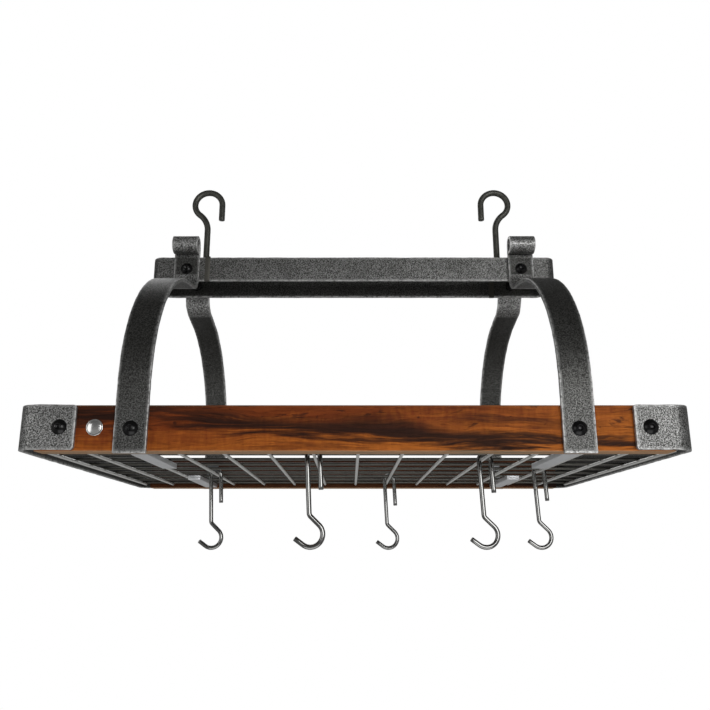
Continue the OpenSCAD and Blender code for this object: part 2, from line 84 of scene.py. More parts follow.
def power(name, watts, text):
    """A light's power that the panel shows."""
    return FloatProperty(name=name, description=text, default=watts, min=0.0, subtype="POWER")


def colour(name, default, text):
    """A colour that the panel shows."""
    return FloatVectorProperty(
        name=name, description=text, default=default, size=3, min=0.0, max=1.0, subtype="COLOR"
    )


class RackBarSizes(bpy.types.PropertyGroup):
    bar_width: length("Bar width", 0.0374, "Width of the straps and of the top frame")
    bar_thickness: length("Bar thickness", 0.0048, "Thickness of every flat bar")
    edge_radius: length("Edge radius", 0.0007, "Rounding along the edges of the bar")
    forge_depth: length("Forge marks", 0.00022, "How far hammering moves the faces and edges")
    band_leg: length("Band leg", 0.068, "Reach of an end band's leg from the end of the rack")
    band_bend: length("Band bend", 0.022, "Outer radius of an end band's bends")
    band_tip: length("Band corner", 0.004, "Radius of the free corners of a leg")
    strap_x: length("Strap place", 0.2507, "Distance of a strap's middle from the middle of the rack")
    strap_drop: length("Strap drop", 0.0025, "Reach of a front strap below the boards")
    rear_drop: length("Rear strap drop", 0.0, "Reach of a rear strap below the boards")
    strap_foot: length("Strap foot", 0.075, "Height at which the straight foot ends")
    arch_low: length("Lower arch", 0.180, "Outer radius of the lower part of the arch")
    arch_high: length("Upper arch", 0.204, "Outer radius of the upper part of the arch")
    arch_turn: angle("Arch change", 40, "Angle at which the arch changes radius")
    arch_slope: angle("Run slope", 10, "Slope of the run above the arch")
    strap_bend: length("Strap bend", 0.027, "Inner radius of the bend up to the top frame")
    scroll: length("Scroll", 0.0134, "Outer radius of the scroll")
    scroll_rise: length("Scroll rise", 0.0142, "Height of the scroll's middle above the top frame")
    scroll_turn: angle("Scroll turn", 300, "Angle through which the scroll is rolled")
    frame_bend: length("Frame bend", 0.015, "Outer radius of the top frame's corners")
    frame_seat: length("Frame seat", 0.0092, "Depth of the frame's lower edge below the strap bend")
    weld_x: length("Weld place", 0.2205, "Distance of each weld from the middle of the rack")
    weld_width: length("Weld width", 0.008, "Width of a weld")
    weld_proud: length("Weld height", 0.0006, "Height of a weld above the bar's face")
    bracket_width: length("Bracket width", 0.019, "Width of a grid bracket")
    bracket_thickness: length("Bracket thickness", 0.0064, "Thickness of a grid bracket")
    bracket_bend: length("Bracket bend", 0.008, "Outer radius of a bracket's bend")


class RackRodSizes(bpy.types.PropertyGroup):
    hook_rod: length("Ceiling hook rod", 0.0095, "Diameter of a ceiling hook's rod")
    crook: length("Crook", 0.0216, "Radius of the crook to the middle of the rod")
    neck: length("Neck", 0.0324, "Radius of the neck to the middle of the rod")
    hook_tip: length("Tip", 0.026, "Length of the straight tip")
    grid_rod: length("Grid rod", 0.004, "Diameter of the grid's rods")
    wire: length("Pot hook wire", 0.006, "Diameter of a pot hook's wire")
    saddle: length("Saddle", 0.0075, "Radius of a pot hook's saddle")
    short_leg: length("Short leg", 0.041, "Length of a pot hook's short leg")
    long_leg: length("Long leg", 0.0673, "Length of a pot hook's long leg")
    leg_bend: length("Leg bend", 0.006, "Radius of the bend below the long leg")
    leg_angle: angle("Leg bend angle", 43, "Angle of the bend below the long leg")
    lead: length("Lead", 0.014, "Length of the straight run from the bend to the bowl")
    bowl: length("Bowl", 0.0146, "Radius of a pot hook's bowl")
    bowl_turn: angle("Bowl turn", 39, "Angle of the bowl past its lowest point")
    pot_tip: length("Pot hook tip", 0.012, "Length of a pot hook's straight tip")
    tilt: angle("Balance", -2.72356, "Lean of a pot hook that hangs at rest")
    sides: IntProperty(name="Sides", description="Faces round a rod", default=24, min=8, max=64)


class RackScrewSizes(bpy.types.PropertyGroup):
    shank: length("Shank", 0.0095, "Diameter of a screw")
    head: length("Head", 0.0175, "Diameter of a screw's head")
    head_height: length("Head height", 0.005, "Height of a screw's head")
    socket: length("Socket", 0.0056, "Width across the flats of the socket")
    socket_depth: length("Socket depth", 0.0026, "Depth of the socket")
    badge: length("Badge", 0.019, "Diameter of the disc on the front board")
    badge_rim: length("Badge rim", 0.0014, "Thickness of the disc's rim")
    badge_dome: length("Badge dome", 0.0012, "Rise of the disc's dome")


class RackFinishes(bpy.types.PropertyGroup):
    wood_light: colour("Light wood", (0.385, 0.112, 0.0165), "Pale figure of the boards")
    wood_warm: colour("Warm wood", (0.165, 0.036, 0.0080), "Middle tone of the boards")
    wood_dark: colour("Dark wood", (0.0175, 0.0078, 0.0056), "Dark streaks of the boards")
    steel_dark: colour("Dark steel", (0.024, 0.024, 0.0215), "Hollows of the hammered finish")
    # Rubbed steel also shows where the points' rub value paints light: the scrolls and under the strap bends.
    steel_bright: colour("Rubbed steel", (0.47, 0.47, 0.465), "High spots and edges of the hammered finish")
    rod_coat: colour("Rod coat", (0.056, 0.056, 0.048), "Coat of the ceiling hooks")
    weld: colour("Weld", (0.050, 0.048, 0.042), "Ground weld")
    # Bracket is the painted reflection on each bracket's foot; the rest of the bracket has a much darker copy as
    # painted shade.
    bracket: colour("Bracket", (0.80, 0.81, 0.83), "Satin steel of the grid brackets")
    # Grid is the long rods' dark tone, a painted shade. The cross rods' bright colour is a painted reflection,
    # though both are the same wire.
    grid: colour("Grid", (0.070, 0.068, 0.060), "Satin steel of the wire grid")
    grid_cross_sheen: colour("Rubbed grid", (0.84, 0.84, 0.82), "Cross rods of the wire grid")
    black: colour("Black screws", (0.0014, 0.0014, 0.0014), "Black coat of the screws")
    chrome: colour("Chrome", (0.60, 0.60, 0.59), "Polished disc")
    hook_wire: colour("Hook wire", (0.21, 0.21, 0.205), "Polished wire of the pot hooks")


class RackStageSizes(bpy.types.PropertyGroup):
    camera_place: FloatVectorProperty(
        name="Camera", description="Place of the camera", default=(-0.00525, -1.09264, -0.550206),
        size=3, subtype="TRANSLATION", unit="LENGTH",
    )
    camera_pitch: angle("Pitch", 14.668, "Angle of the camera above the level")
    camera_lens: FloatProperty(name="Lens", description="Focal length in millimetres", default=37.775, min=10.0)
    camera_shift: FloatProperty(name="Shift", description="Sideways shift of the picture", default=0.0066)
    floor_z: FloatProperty(
        name="Floor", description="Height of the floor", default=-2.3, subtype="DISTANCE", unit="LENGTH"
    )
    key_power: power("Key light", 33.0, "Power of the main light")
    fill_power: power("Fill light", 8.0, "Power of the fill light")
    low_power: power("Low light", 12.0, "Power of the light below the rack")
    back_power: power("Back light", 20.0, "Power of the light above and behind")
    sky: FloatProperty(name="Sky", description="Strength of the surroundings", default=0.30, min=0.0)


# Shapes


# Distance between a bar's rings: on a straight run, round a bend and round a tight bend
LONG_STEP, BEND_STEP, TIGHT_STEP = 0.006, 0.003, 0.0016
# The same on the short straight runs of a rod
WIRE_STEP = 0.005
# Places of the first rings beside a bar's cut end
END_STEPS = [0.0001, 0.0003, 0.0007, 0.0014]
# Width of the worn lip along a bar's edge, where the wear ends, and the distance between points on the face
LIP, SHELF, FACE_STEP = 0.0012, 0.004, 0.0055
# Length of bare steel at a bar's cut end, and the length over which it fades
WORN_END, WORN_FADE = 0.0009, 0.0028
# Hammer marks to the metre, and how much more they move an edge than a face
FORGE_GRAIN, EDGE_PUSH = 70.0, 1.6


def arc(centre, radius, start, end, step):
    """Points of an arc with their outward directions, in a plane of two numbers."""
    count = max(2, round(abs(end - start) * radius / step))
    out = []
    for i in range(count + 1):
        a = start + (end - start) * i / count
        way = Vector((math.cos(a), math.sin(a)))
        out.append((Vector(centre) + way * radius, way))
    return out


def line(start, end, way, step):
    """Points of a straight stretch, all with one outward direction."""
    start, end, way = Vector(start), Vector(end), Vector(way)
    count = max(1, round((end - start).length / step))
    return [(start.lerp(end, i / count), way) for i in range(count + 1)]


def chain(*runs):
    """Joins stretches and drops the points that two of them share."""
    out = []
    for run in runs:
        for point, way in run:
            if not out or (out[-1][0] - point).length > 1e-6:
                out.append((point, way))
    return out


def with_ends(points, reaches):
    """Adds points close to both ends, so that the ends can be rounded."""
    for _ in range(2):
        start, way = points[0]
        along = (points[1][0] - start).normalized()
        near = [(start + along * r, way) for r in reaches]
        far = [p for p in points[1:] if (p[0] - start).length > reaches[-1] + 1e-5]
        points = [points[0]] + near + far
        points.reverse()
    return points


def bar_section(width, thickness, edge):
    """Outline of a flat bar: (across, depth, across direction, depth direction, wear) round the section."""
    half = width / 2
    count = max(2, round((width - 2 * SHELF) / FACE_STEP))
    spread = [-half + edge, -half + LIP, -half + SHELF]
    spread += [(-half + SHELF) + (width - 2 * SHELF) * i / count for i in range(1, count)]
    spread += [half - SHELF, half - LIP, half - edge]
    face_points = list(zip(spread, [1.0, 0.45, 0.0] + [0.0] * (count - 1) + [0.0, 0.45, 1.0]))
    out = []
    for side, face, corners in (
        (1.0, 0.0, ((-edge, 90), (edge - thickness, 0))),
        (-1.0, -thickness, ((edge - thickness, -90), (-edge, 180))),
    ):
        out += [(w, face, 0.0, side, k) for w, k in face_points]
        for depth, start in corners:
            # The narrow faces take a high wear value, which also paints a light line along them.
            flat = [(side * half, depth, side, 0.0, 0.85)]
            ways = [(math.cos(math.radians(a)), math.sin(math.radians(a))) for a in (start - 30, start - 60)]
            rounded = [(side * (half - edge) + edge * w, depth + edge * d, w, d, 1.0) for w, d in ways]
            out += rounded + flat if depth == corners[0][0] else flat + rounded
        face_points.reverse()
    return out


def tube_faces(rows, count):
    """Faces of a tube made of rows of points, with one flat face over each end."""
    faces = []
    for low in range(0, (rows - 1) * count, count):
        for j in range(count):
            k = (j + 1) % count
            faces.append((low + j, low + k, low + count + k, low + count + j))
    faces.append(tuple(reversed(range(count))))
    faces.append(tuple(range((rows - 1) * count, rows * count)))
    return faces


def bent_bar(path, across, width, thickness, edge, forge, tip=0.0, cut=True):
    """A flat bar that follows a path of (point on the outer face, outward direction) in 3-D.

    With cut, its ends are eased and worn bare; tip is the radius of their corners.
    """
    section = bar_section(width, thickness, edge)
    runs = [0.0]
    for a, b in zip(path, path[1:]):
        runs.append(runs[-1] + (b[0] - a[0]).length)
    verts, wear_and_light = [], []
    for (point, way), run in zip(path, runs):
        near = min(run, runs[-1] - run) if cut else runs[-1]
        inset = edge - math.sqrt(max(0.0, edge**2 - (edge - near) ** 2)) if near < edge else 0.0
        half = width / 2
        if near < tip:
            half = half - tip + math.sqrt(max(0.0, tip**2 - (tip - near) ** 2))
        end_wear = min(1.0, max(0.0, 1.0 - (near - WORN_END) / WORN_FADE))
        for w, d, way_w, way_d, k in section:
            p = point + across * (w * half / (width / 2) - way_w * inset) + way * (d - way_d * inset)
            if forge:
                push = noise.fractal(p * FORGE_GRAIN, 0.8, 2.1, 3) * forge
                if way_d > 0.4:
                    p = p - way * abs(push)
                if abs(way_w) > 0.4:
                    p = p + across * (push * EDGE_PUSH * math.copysign(1, way_w))
            verts.append(p)
            wear_and_light.append(max(k, end_wear))
    faces = tube_faces(len(path), len(section))
    along = path[1][0] - path[0][0]
    if along.dot(across.cross(path[0][1])) > 0:
        faces = [tuple(reversed(f)) for f in faces]
    return verts, faces, wear_and_light


def rod(points, radius, sides, side_way, edge=0.0005):
    """A round rod with eased ends, in one plane; side_way is a unit vector square to that plane."""
    ease_run, ease_depth = edge * 0.3, edge * 0.29
    ends = []
    for a, b in ((points[0], points[1]), (points[-1], points[-2])):
        along = (b - a).normalized()
        ends.append([a, a + along * ease_run, a + along * edge])
    path = ends[0] + points[1:-1] + list(reversed(ends[1]))
    shrink = [edge, ease_depth, 0.0] + [0.0] * (len(points) - 2) + [0.0, ease_depth, edge]
    verts, wear_and_light = [], []
    last = len(path) - 1
    for i, point in enumerate(path):
        along = (path[min(i + 1, last)] - path[max(i - 1, 0)]).normalized()
        out = along.cross(side_way).normalized()
        r = radius - shrink[i]
        for j in range(sides):
            a = 2 * math.pi * j / sides
            verts.append(point + out * (r * math.cos(a)) + side_way * (r * math.sin(a)))
        wear_and_light += [1.0 if shrink[i] else 0.0] * sides
    return verts, tube_faces(len(path), sides), wear_and_light


def merge(parts):
    """Puts several shapes in one."""
    verts, faces, wear_and_light = [], [], []
    for v, f, w in parts:
        base = len(verts)
        verts += v
        faces += [tuple(i + base for i in face) for face in f]
        wear_and_light += w
    return verts, faces, wear_and_light


def ring_angles(corners=(), count=48):
    """Angles of a ring: even ones, and those of the corners it has to reach."""
    too_near = 0.02
    even = [2 * math.pi * i / count for i in range(count)]
    kept = [a for a in even if all(abs(a - c) > too_near for c in corners)]
    return sorted(kept + list(corners))


def rings(levels, angles, closed=False):
    """A turned shape from (height, reach, wear) levels; closed joins the last level to the first.

    A reach is a radius, or its function of the angle, or None at either end for a pole.
    """
    verts, wear_and_light, rows = [], [], []
    for height, reach, k in levels:
        kept = angles if reach is not None else angles[:1]
        rows.append(range(len(verts), len(verts) + len(kept)))
        for a in kept:
            r = reach(a) if callable(reach) else reach or 0.0
            verts.append(Vector((r * math.cos(a), r * math.sin(a), height)))
            wear_and_light.append(k)
    faces = []
    for low, high in zip(rows, rows[1:] + rows[:1] if closed else rows[1:]):
        for j in range(len(angles)):
            k = (j + 1) % len(angles)
            if len(low) == 1:
                faces.append((low[0], high[k], high[j]))
            elif len(high) == 1:
                faces.append((low[j], low[k], high[0]))
            else:
                faces.append((low[j], low[k], high[k], high[j]))
    return verts, faces, wear_and_light


def hex_reach(across_flats, most=math.inf):
    """Distance from the middle of a hexagon to its side, at most a given radius."""
    def reach(a):
        turn = (a + math.pi / 6) % (math.pi / 3) - math.pi / 6
        return min(across_flats / 2 / math.cos(turn), most)
    return reach


def box_reach(half_x, half_y):
    """Distance from the middle of a rectangle to its side."""
    def reach(a):
        return min(half_x / max(1e-9, abs(math.cos(a))), half_y / max(1e-9, abs(math.sin(a))))
    return reach


def both_sides(levels, tall):
    """The levels of the lower side and, mirrored, those of the upper side."""
    return levels + [(tall - height, reach, k) for height, reach, k in reversed(levels)]


HEX_CORNERS = [math.radians(30 + 60 * i) for i in range(6)]
# Widening at the mouth of a bore, and the depth over which it widens
MOUTH, MOUTH_DEPTH = 0.0004, 0.0003


def screw(sizes, shank):
    """A button head with a drilled hexagon socket and its shank, standing along +Z."""
    head, tall, thick = sizes.head / 2, sizes.head_height, sizes.shank / 2
    drill, chamfer, rounding = 0.0011, 0.0008, 0.00035
    cap = (head**2 + tall**2) / (2 * tall)
    rim = sizes.socket / math.sqrt(3) + 0.0005
    top = tall - cap + math.sqrt(cap**2 - rim**2)
    bottom = tall - sizes.socket_depth
    socket = hex_reach(sizes.socket)
    levels = [(bottom - drill, None, 0.0), (bottom, hex_reach(sizes.socket - MOUTH), 0.0)]
    levels += [(bottom + MOUTH_DEPTH, socket, 0.0), (top - MOUTH, socket, 0.6), (top, rim, 1.0)]
    for i in range(1, 9):
        r = rim + (head - rounding - rim) * math.sin(math.pi / 2 * i / 8)
        levels.append((tall - cap + math.sqrt(cap**2 - r**2), r, 0.15))
    levels += [(0.0006, head - 0.00012, 1.0), (rounding, head, 1.0), (0.0, head - 0.0002, 0.3)]
    levels += [(0.0, thick, 0.0), (chamfer - shank, thick, 0.0)]
    levels += [(-shank, thick - chamfer, 0.4), (-shank, None, 0.2)]
    levels.reverse()
    return rings(levels, ring_angles(HEX_CORNERS))


def nut(across_flats, tall, bore):
    """A hexagon nut with chamfered corners, standing on its seat."""
    flat = across_flats / 2
    levels = [
        (MOUTH_DEPTH, bore, 0.2),
        (0.0, bore + MOUTH, 0.6),
        (0.0, flat * 0.96, 0.6),
        (tall * 0.14, hex_reach(across_flats, flat * 1.11), 1.0),
        (tall * 0.24, hex_reach(across_flats), 0.7),
    ]
    return rings(both_sides(levels, tall), ring_angles(HEX_CORNERS), True)


def holed_plate(half_x, half_y, thickness, bore, edge):
    """A flat plate with one round hole in its middle, lying on z = 0."""
    corner = math.atan2(half_y, half_x)
    angles = ring_angles([corner, math.pi - corner, math.pi + corner, 2 * math.pi - corner])
    levels = [
        (MOUTH_DEPTH, bore, 0.2),
        (0.0, bore + MOUTH_DEPTH, 0.6),
        (0.0, box_reach(half_x - edge, half_y - edge), 0.8),
        (edge, box_reach(half_x, half_y), 1.0),
    ]
    return rings(both_sides(levels, thickness), angles, True)


def moved(shape, place):
    """The same shape somewhere else; a mirrored one has its faces turned back."""
    verts, faces, wear_and_light = shape
    if place.to_3x3().determinant() < 0:
        faces = [tuple(reversed(f)) for f in faces]
    return [place @ v for v in verts], faces, wear_and_light


# Finishes


def shade(tone, share):
    """A colour made darker or brighter."""
    return tuple(min(1.0, v * share) for v in tone)


class Finish:
    """A material, or the world, and a short way to add nodes to it."""

    def __init__(self, owner, shader="Principled BSDF", place="Object"):
        owner.use_nodes = True
        self.owner, self.tree = owner, owner.node_tree
        self.shader = self.tree.nodes[shader]
        self.place = self.add("ShaderNodeTexCoord").outputs[place]

    def add(self, kind, inputs=None, **settings):
        made = self.tree.nodes.new(kind)
        for key, value in settings.items():
            setattr(made, key, value)
        for key, value in (inputs or {}).items():
            self.join(value, made.inputs[key])
        return made

    def join(self, value, socket):
        """Sets a socket from a number, a colour or another socket."""
        if isinstance(value, bpy.types.NodeSocket):
            self.tree.links.new(value, socket)
        elif socket.type == "RGBA":
            socket.default_value = (*value, 1.0)
        else:
            socket.default_value = value

    def scaled(self, scale, shift=(0, 0, 0), source=None):
        inputs = {"Vector": source or self.place, "Scale": scale, "Location": shift}
        return self.add("ShaderNodeMapping", inputs).outputs["Vector"]

    def noise(self, scale, detail, rough, warp=0.0, source=None):
        inputs = {"Vector": source or self.place, "Scale": scale, "Detail": detail}
        inputs.update({"Roughness": rough, "Distortion": warp})
        return self.add("ShaderNodeTexNoise", inputs).outputs["Fac"]

    def ramp(self, source, stops):
        """Colours or levels between positions: stops is [(position, level or colour)]."""
        made = self.add("ShaderNodeValToRGB", {"Fac": source})
        band = made.color_ramp
        while len(band.elements) < len(stops):
            band.elements.new(0.5)
        for element, (position, value) in zip(band.elements, stops):
            element.position = position
            element.color = (value, value, value, 1) if isinstance(value, (int, float)) else (*value, 1)
        return made.outputs["Color"]

    def sum(self, kind, *values, clamp=False):
        inputs = dict(enumerate(values))
        return self.add("ShaderNodeMath", inputs, operation=kind, use_clamp=clamp).outputs["Value"]

    def times(self, a, b, clamp=False):
        return self.sum("MULTIPLY", a, b, clamp=clamp)

    def sway(self, value, share, base=0.0):
        """A base value, moved by a share of how far another value is from one half."""
        return self.sum("MULTIPLY_ADD", self.sum("SUBTRACT", value, 0.5), share, base)

    def blend(self, factor, a, b, kind="MIX"):
        """Mixes two colours; the sockets for colours are the seventh and eighth."""
        inputs = {0: factor, 6: a, 7: b}
        return self.add("ShaderNodeMix", inputs, data_type="RGBA", blend_type=kind, clamp_factor=True).outputs[2]

    def painted(self, name):
        """A value that the mesh's points carry: their wear or rub, both of which also carry painted light and
        shade.
        """
        return self.add("ShaderNodeAttribute", attribute_name=name).outputs["Fac"]

    def bump(self, height, strength, distance):
        inputs = {"Strength": strength, "Distance": distance, "Height": height}
        return self.add("ShaderNodeBump", inputs).outputs["Normal"]

    def done(self, **values):
        """Joins values to the shader's sockets by name, with _ for a space."""
        for key, value in values.items():
            self.join(value, self.shader.inputs[key.replace("_", " ")])
        return self.owner

    def cover(self, share, glow):
        """Shows a glow in place of the shader, by a share."""
        surface = self.shader.outputs[0].links[0].to_socket
        mix = self.add("ShaderNodeMixShader", {0: share, 1: self.shader.outputs[0], 2: glow.outputs[0]})
        self.join(mix.outputs[0], surface)


# Height and reach of the wood's dark band along a board, as shares of the board's length and height
BAND_RISE = [(0.19, 0.88), (0.27, 0.75), (0.41, 0.52), (0.57, 0.46), (0.63, 0.33), (0.70, 0.23), (0.88, 0.25)]
BAND_REACH = [(0.19, 0.34), (0.30, 0.40), (0.41, 0.42), (0.57, 0.38), (0.70, 0.19), (0.88, 0.12)]
# Length of board that the band's shares are of
FIGURE_LENGTH = 0.72


def hammered_steel(name, dark, bright):
    """Dark coated steel with a pebbled face, rubbed bright on its high spots and edges, with painted light and
    shade carried by the points' rub value.
    """
    f = Finish(bpy.data.materials.new(name))
    pebble, fine = f.noise(620.0, 3.0, 0.66, 0.3), f.noise(1500.0, 2.0, 0.6)
    pits = f.add("ShaderNodeTexVoronoi", {"Vector": f.place, "Scale": 420.0}).outputs["Distance"]
    mix = f.sum("ADD", f.times(pebble, 0.62), f.times(fine, 0.38))
    spots = f.ramp(mix, [(0.455, 0.0), (0.50, 0.30), (0.565, 1.0)])
    zones = f.ramp(f.noise(22.0, 2.0, 0.5, 0.2), [(0.3, 0.6), (0.7, 1.0)])
    rub_and_light = f.painted("rub_and_light")
    rubbed_and_lit = f.times(f.times(spots, zones), rub_and_light)
    broken = f.ramp(f.noise(220.0, 3.0, 0.6), [(0.36, 0.25), (0.56, 1.0)])
    # Bright edges: wear along the edges, and a painted light line on the bars' narrow faces.
    edges = f.times(f.times(f.painted("wear_and_light"), broken), 0.8)
    tone = f.blend(f.ramp(mix, [(0.43, 0.0), (0.57, 1.0)]), shade(dark, 0.45), shade(dark, 1.55))
    # The points' rub value lifts the whole tone: a painted highlight at the scrolls, painted light under the strap
    # bends, and painted shade on inner faces and on the right band.
    tone = f.blend(f.times(rub_and_light, 0.35, clamp=True), tone, shade(dark, 2.4))
    tone = f.blend(f.sum("MAXIMUM", rubbed_and_lit, edges, clamp=True), tone, bright)
    tone = f.blend(f.times(edges, 0.25), tone, shade(bright, 1.7))
    rough = f.ramp(mix, [(0.4, 0.54), (0.65, 0.36)])
    normal = f.bump(f.sum("ADD", pebble, f.times(pits, 0.5)), 0.45, 0.0006)
    return f.done(Base_Color=tone, Roughness=rough, Normal=normal, Metallic=0.72)


def tiger_wood(name, light, warm, dark):
    """Oiled orange-brown wood: a broad dark band that wanders along the board, streaks, flecks and pores."""
    f = Finish(bpy.data.materials.new(name))
    drift = f.noise(1.0, 3.0, 0.55, 0.0, f.scaled((5.0, 30.0, 30.0)))
    bend = f.add("ShaderNodeCombineXYZ", {"Z": f.sway(drift, 0.030)}).outputs["Vector"]
    flow = f.add("ShaderNodeVectorMath", {0: f.place, 1: bend}, operation="ADD").outputs["Vector"]

    def figure(scale, detail, rough, warp, shift=(0, 0, 0)):
        return f.noise(1.0, detail, rough, warp, f.scaled(scale, shift, flow))

    streak = figure((7.5, 60.0, 120.0), 5.0, 0.62, 0.35, (0.2, 3.0, 1.0))
    broad = figure((6.0, 22.0, 52.0), 4.0, 0.58, 0.5, (1.7, 0.4, 0.9))
    fleck = figure((42.0, 60.0, 150.0), 3.0, 0.60, 0.8, (0.6, 0.0, 2.0))
    grain = figure((26.0, 520.0, 620.0), 3.0, 0.65, 0.0)
    pore = figure((95.0, 1500.0, 1500.0), 1.0, 0.5, 0.0)
    ripple = figure((170.0, 60.0, 42.0), 2.0, 0.5, 0.6)
    x, y, z = f.add("ShaderNodeSeparateXYZ", {"Vector": f.place}).outputs
    along = f.sum("MULTIPLY_ADD", f.sum("ADD", y, -BOARD_LOW.y), 0.7, x)
    along = f.sum("MULTIPLY_ADD", along, 1 / FIGURE_LENGTH, 0.5)
    rise = f.times(f.sum("SUBTRACT", z, ROW_Z), 1 / (BOARD_HIGH.z - BOARD_LOW.z))
    wander = f.sway(streak, 0.9, f.sway(drift, 0.5))
    off = f.sum("ABSOLUTE", f.sum("ADD", f.sum("SUBTRACT", rise, f.ramp(along, BAND_RISE)), wander))
    band = f.sum("SUBTRACT", 1.0, f.sum("DIVIDE", off, f.ramp(along, BAND_REACH)), clamp=True)
    mixed = f.sway(streak, 1.7, f.sway(broad, 1.5, f.times(band, 1.05)))
    dark_share = f.ramp(mixed, [(0.14, 0.0), (0.36, 0.36), (0.62, 0.76), (0.98, 0.96)])
    flecks = f.times(f.ramp(fleck, [(0.57, 0.0), (0.66, 0.75)]), f.ramp(rise, [(0.35, 0.25), (0.6, 1.0)]))
    tint = f.sum("MULTIPLY_ADD", rise, 0.42, f.times(streak, 0.75))
    tint = f.sway(along, -0.45, f.sway(ripple, 0.35, tint))
    tone = f.blend(f.ramp(tint, [(0.32, 0.0), (0.74, 1.0)]), light, warm)
    tone = f.blend(f.sum("MAXIMUM", dark_share, flecks), tone, dark)
    lines = f.ramp(grain, [(0.33, (0.66, 0.62, 0.58)), (0.52, (1.0, 1.0, 1.0)), (0.7, (1.22, 1.18, 1.10))])
    tone = f.blend(0.85, tone, lines, "MULTIPLY")
    pores = f.ramp(pore, [(0.30, 0.25), (0.40, 1.0)])
    tone = f.blend(0.45, tone, pores, "MULTIPLY")
    # Pale tan where the wear value is high: wear on the lower edges, and a painted light over the bottom face.
    tone = f.blend(f.times(f.painted("wear_and_light"), 0.62), tone, (0.33, 0.25, 0.155))
    # Painted shade: the inner faces of the boards, which face each other under the grid, are made dark.
    inner_y = min(abs(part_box("front_board")[1].y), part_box("rear_board")[0].y)
    shaded_inner_faces = f.sum("LESS_THAN", f.sum("ABSOLUTE", y), inner_y + 0.0004)
    tone = f.blend(f.times(shaded_inner_faces, 0.88), tone, shade(dark, 0.9))
    rough = f.ramp(grain, [(0.3, 0.60), (0.7, 0.50)])
    normal = f.bump(f.sum("ADD", f.times(grain, 0.6), f.times(pores, 0.4)), 0.25, 0.0003)
    return f.done(Base_Color=tone, Roughness=rough, Normal=normal, Specular_IOR_Level=0.06)


def drawn_steel(name, plain, metal, rough, mottle, worn_and_lit, shine=0.5):
    """Satin or coated steel with soft mottling, faint scratches and another colour where it is worn; on the
    brackets' feet and the grid's cross rods that colour is a painted reflection.
    """
    f = Finish(bpy.data.materials.new(name))
    cloud, speck = f.noise(120.0, 4.0, 0.6, 0.2), f.noise(900.0, 2.0, 0.6)
    scratch = f.noise(1.0, 2.0, 0.5, 0.0, f.scaled((900.0, 900.0, 60.0)))
    mix = f.sum("ADD", f.times(cloud, 0.6), f.times(speck, 0.4))
    tone = f.ramp(mix, [(0.36, shade(plain, 1 - mottle)), (0.64, shade(plain, 1 + mottle))])
    tone = f.blend(f.times(f.painted("wear_and_light"), 0.85), tone, worn_and_lit)
    lines = f.sum("ADD", f.times(scratch, 0.5), f.times(cloud, 0.5))
    satin = f.ramp(lines, [(0.35, rough * 0.8), (0.65, rough * 1.25)])
    normal = f.bump(f.sum("ADD", scratch, speck), 0.12, 0.00015)
    return f.done(Base_Color=tone, Roughness=satin, Normal=normal, Metallic=metal, Specular_IOR_Level=shine)


def make_finishes(c):
    """Every finish of the rack, by the name of its material slot."""
    # The brackets' darker copy of their steel is painted shade; the bright bracket colour on their feet is a
    # painted reflection.
    bracket_shade, coat_worn, black_worn = shade(c.bracket, 0.12), (0.12, 0.12, 0.11), (0.006, 0.006, 0.006)
    return {
        "wood": tiger_wood("oiled_tiger_wood", c.wood_light, c.wood_warm, c.wood_dark),
        "hammered_steel": hammered_steel("hammered_steel", c.steel_dark, c.steel_bright),
        "hanger_steel": drawn_steel("coated_rod", c.rod_coat, 0.5, 0.42, 0.3, coat_worn),
        "weld": drawn_steel("ground_weld", c.weld, 0.75, 0.44, 0.35, shade(c.weld, 2.4)),
        "bracket_steel": drawn_steel("satin_bracket_steel", bracket_shade, 0.9, 0.40, 0.12, c.bracket),
        # The grid's dark colour is painted shade, and its bright second colour is the cross rods' painted
        # reflection.
        "grid_steel": drawn_steel("satin_grid_wire", c.grid, 0.8, 0.36, 0.2, c.grid_cross_sheen),
        "black_screw": drawn_steel("black_screw_coat", c.black, 0.0, 0.20, 0.3, black_worn, 0.24),
        "chrome": drawn_steel("polished_disc_steel", c.chrome, 1.0, 0.17, 0.05, c.chrome),
        "hook_wire": drawn_steel("polished_wire", c.hook_wire, 1.0, 0.13, 0.05, c.hook_wire),
    }


finishes = {}


def finish(slot):
    """The material of a slot; all of them are made on first use."""
    if not finishes:
        finishes.update(make_finishes(bpy.context.scene.rack_finishes))
    return finishes[slot]


def piece_of(name, shape, slot, body="rack", nodes=(), sharp=50, rub_and_light=None, look=None):
    """Makes one mesh piece, gives it its finish and lets it ride on a body in place of CAD nodes."""
    verts, faces, wear_and_light = shape
    mesh = bpy.data.meshes.new(name)
    mesh.from_pydata([tuple(v) for v in verts], [], faces)
    for layer, values in (("wear_and_light", wear_and_light), ("rub_and_light", rub_and_light and [rub_and_light(v) for v in verts])):
        if values:
            mesh.attributes.new(layer, "FLOAT", "POINT").data.foreach_set("value", values)
    mesh.validate()
    mesh.shade_smooth()
    mesh.set_sharp_from_angle(angle=math.radians(sharp))
    piece = bpy.data.objects.new(name, mesh)
    bpy.context.scene.collection.objects.link(piece)
    mesh.materials.append(finish(look or slot))
    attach(piece, body)
    if nodes:
        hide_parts(*nodes)
    return piece


# Pieces


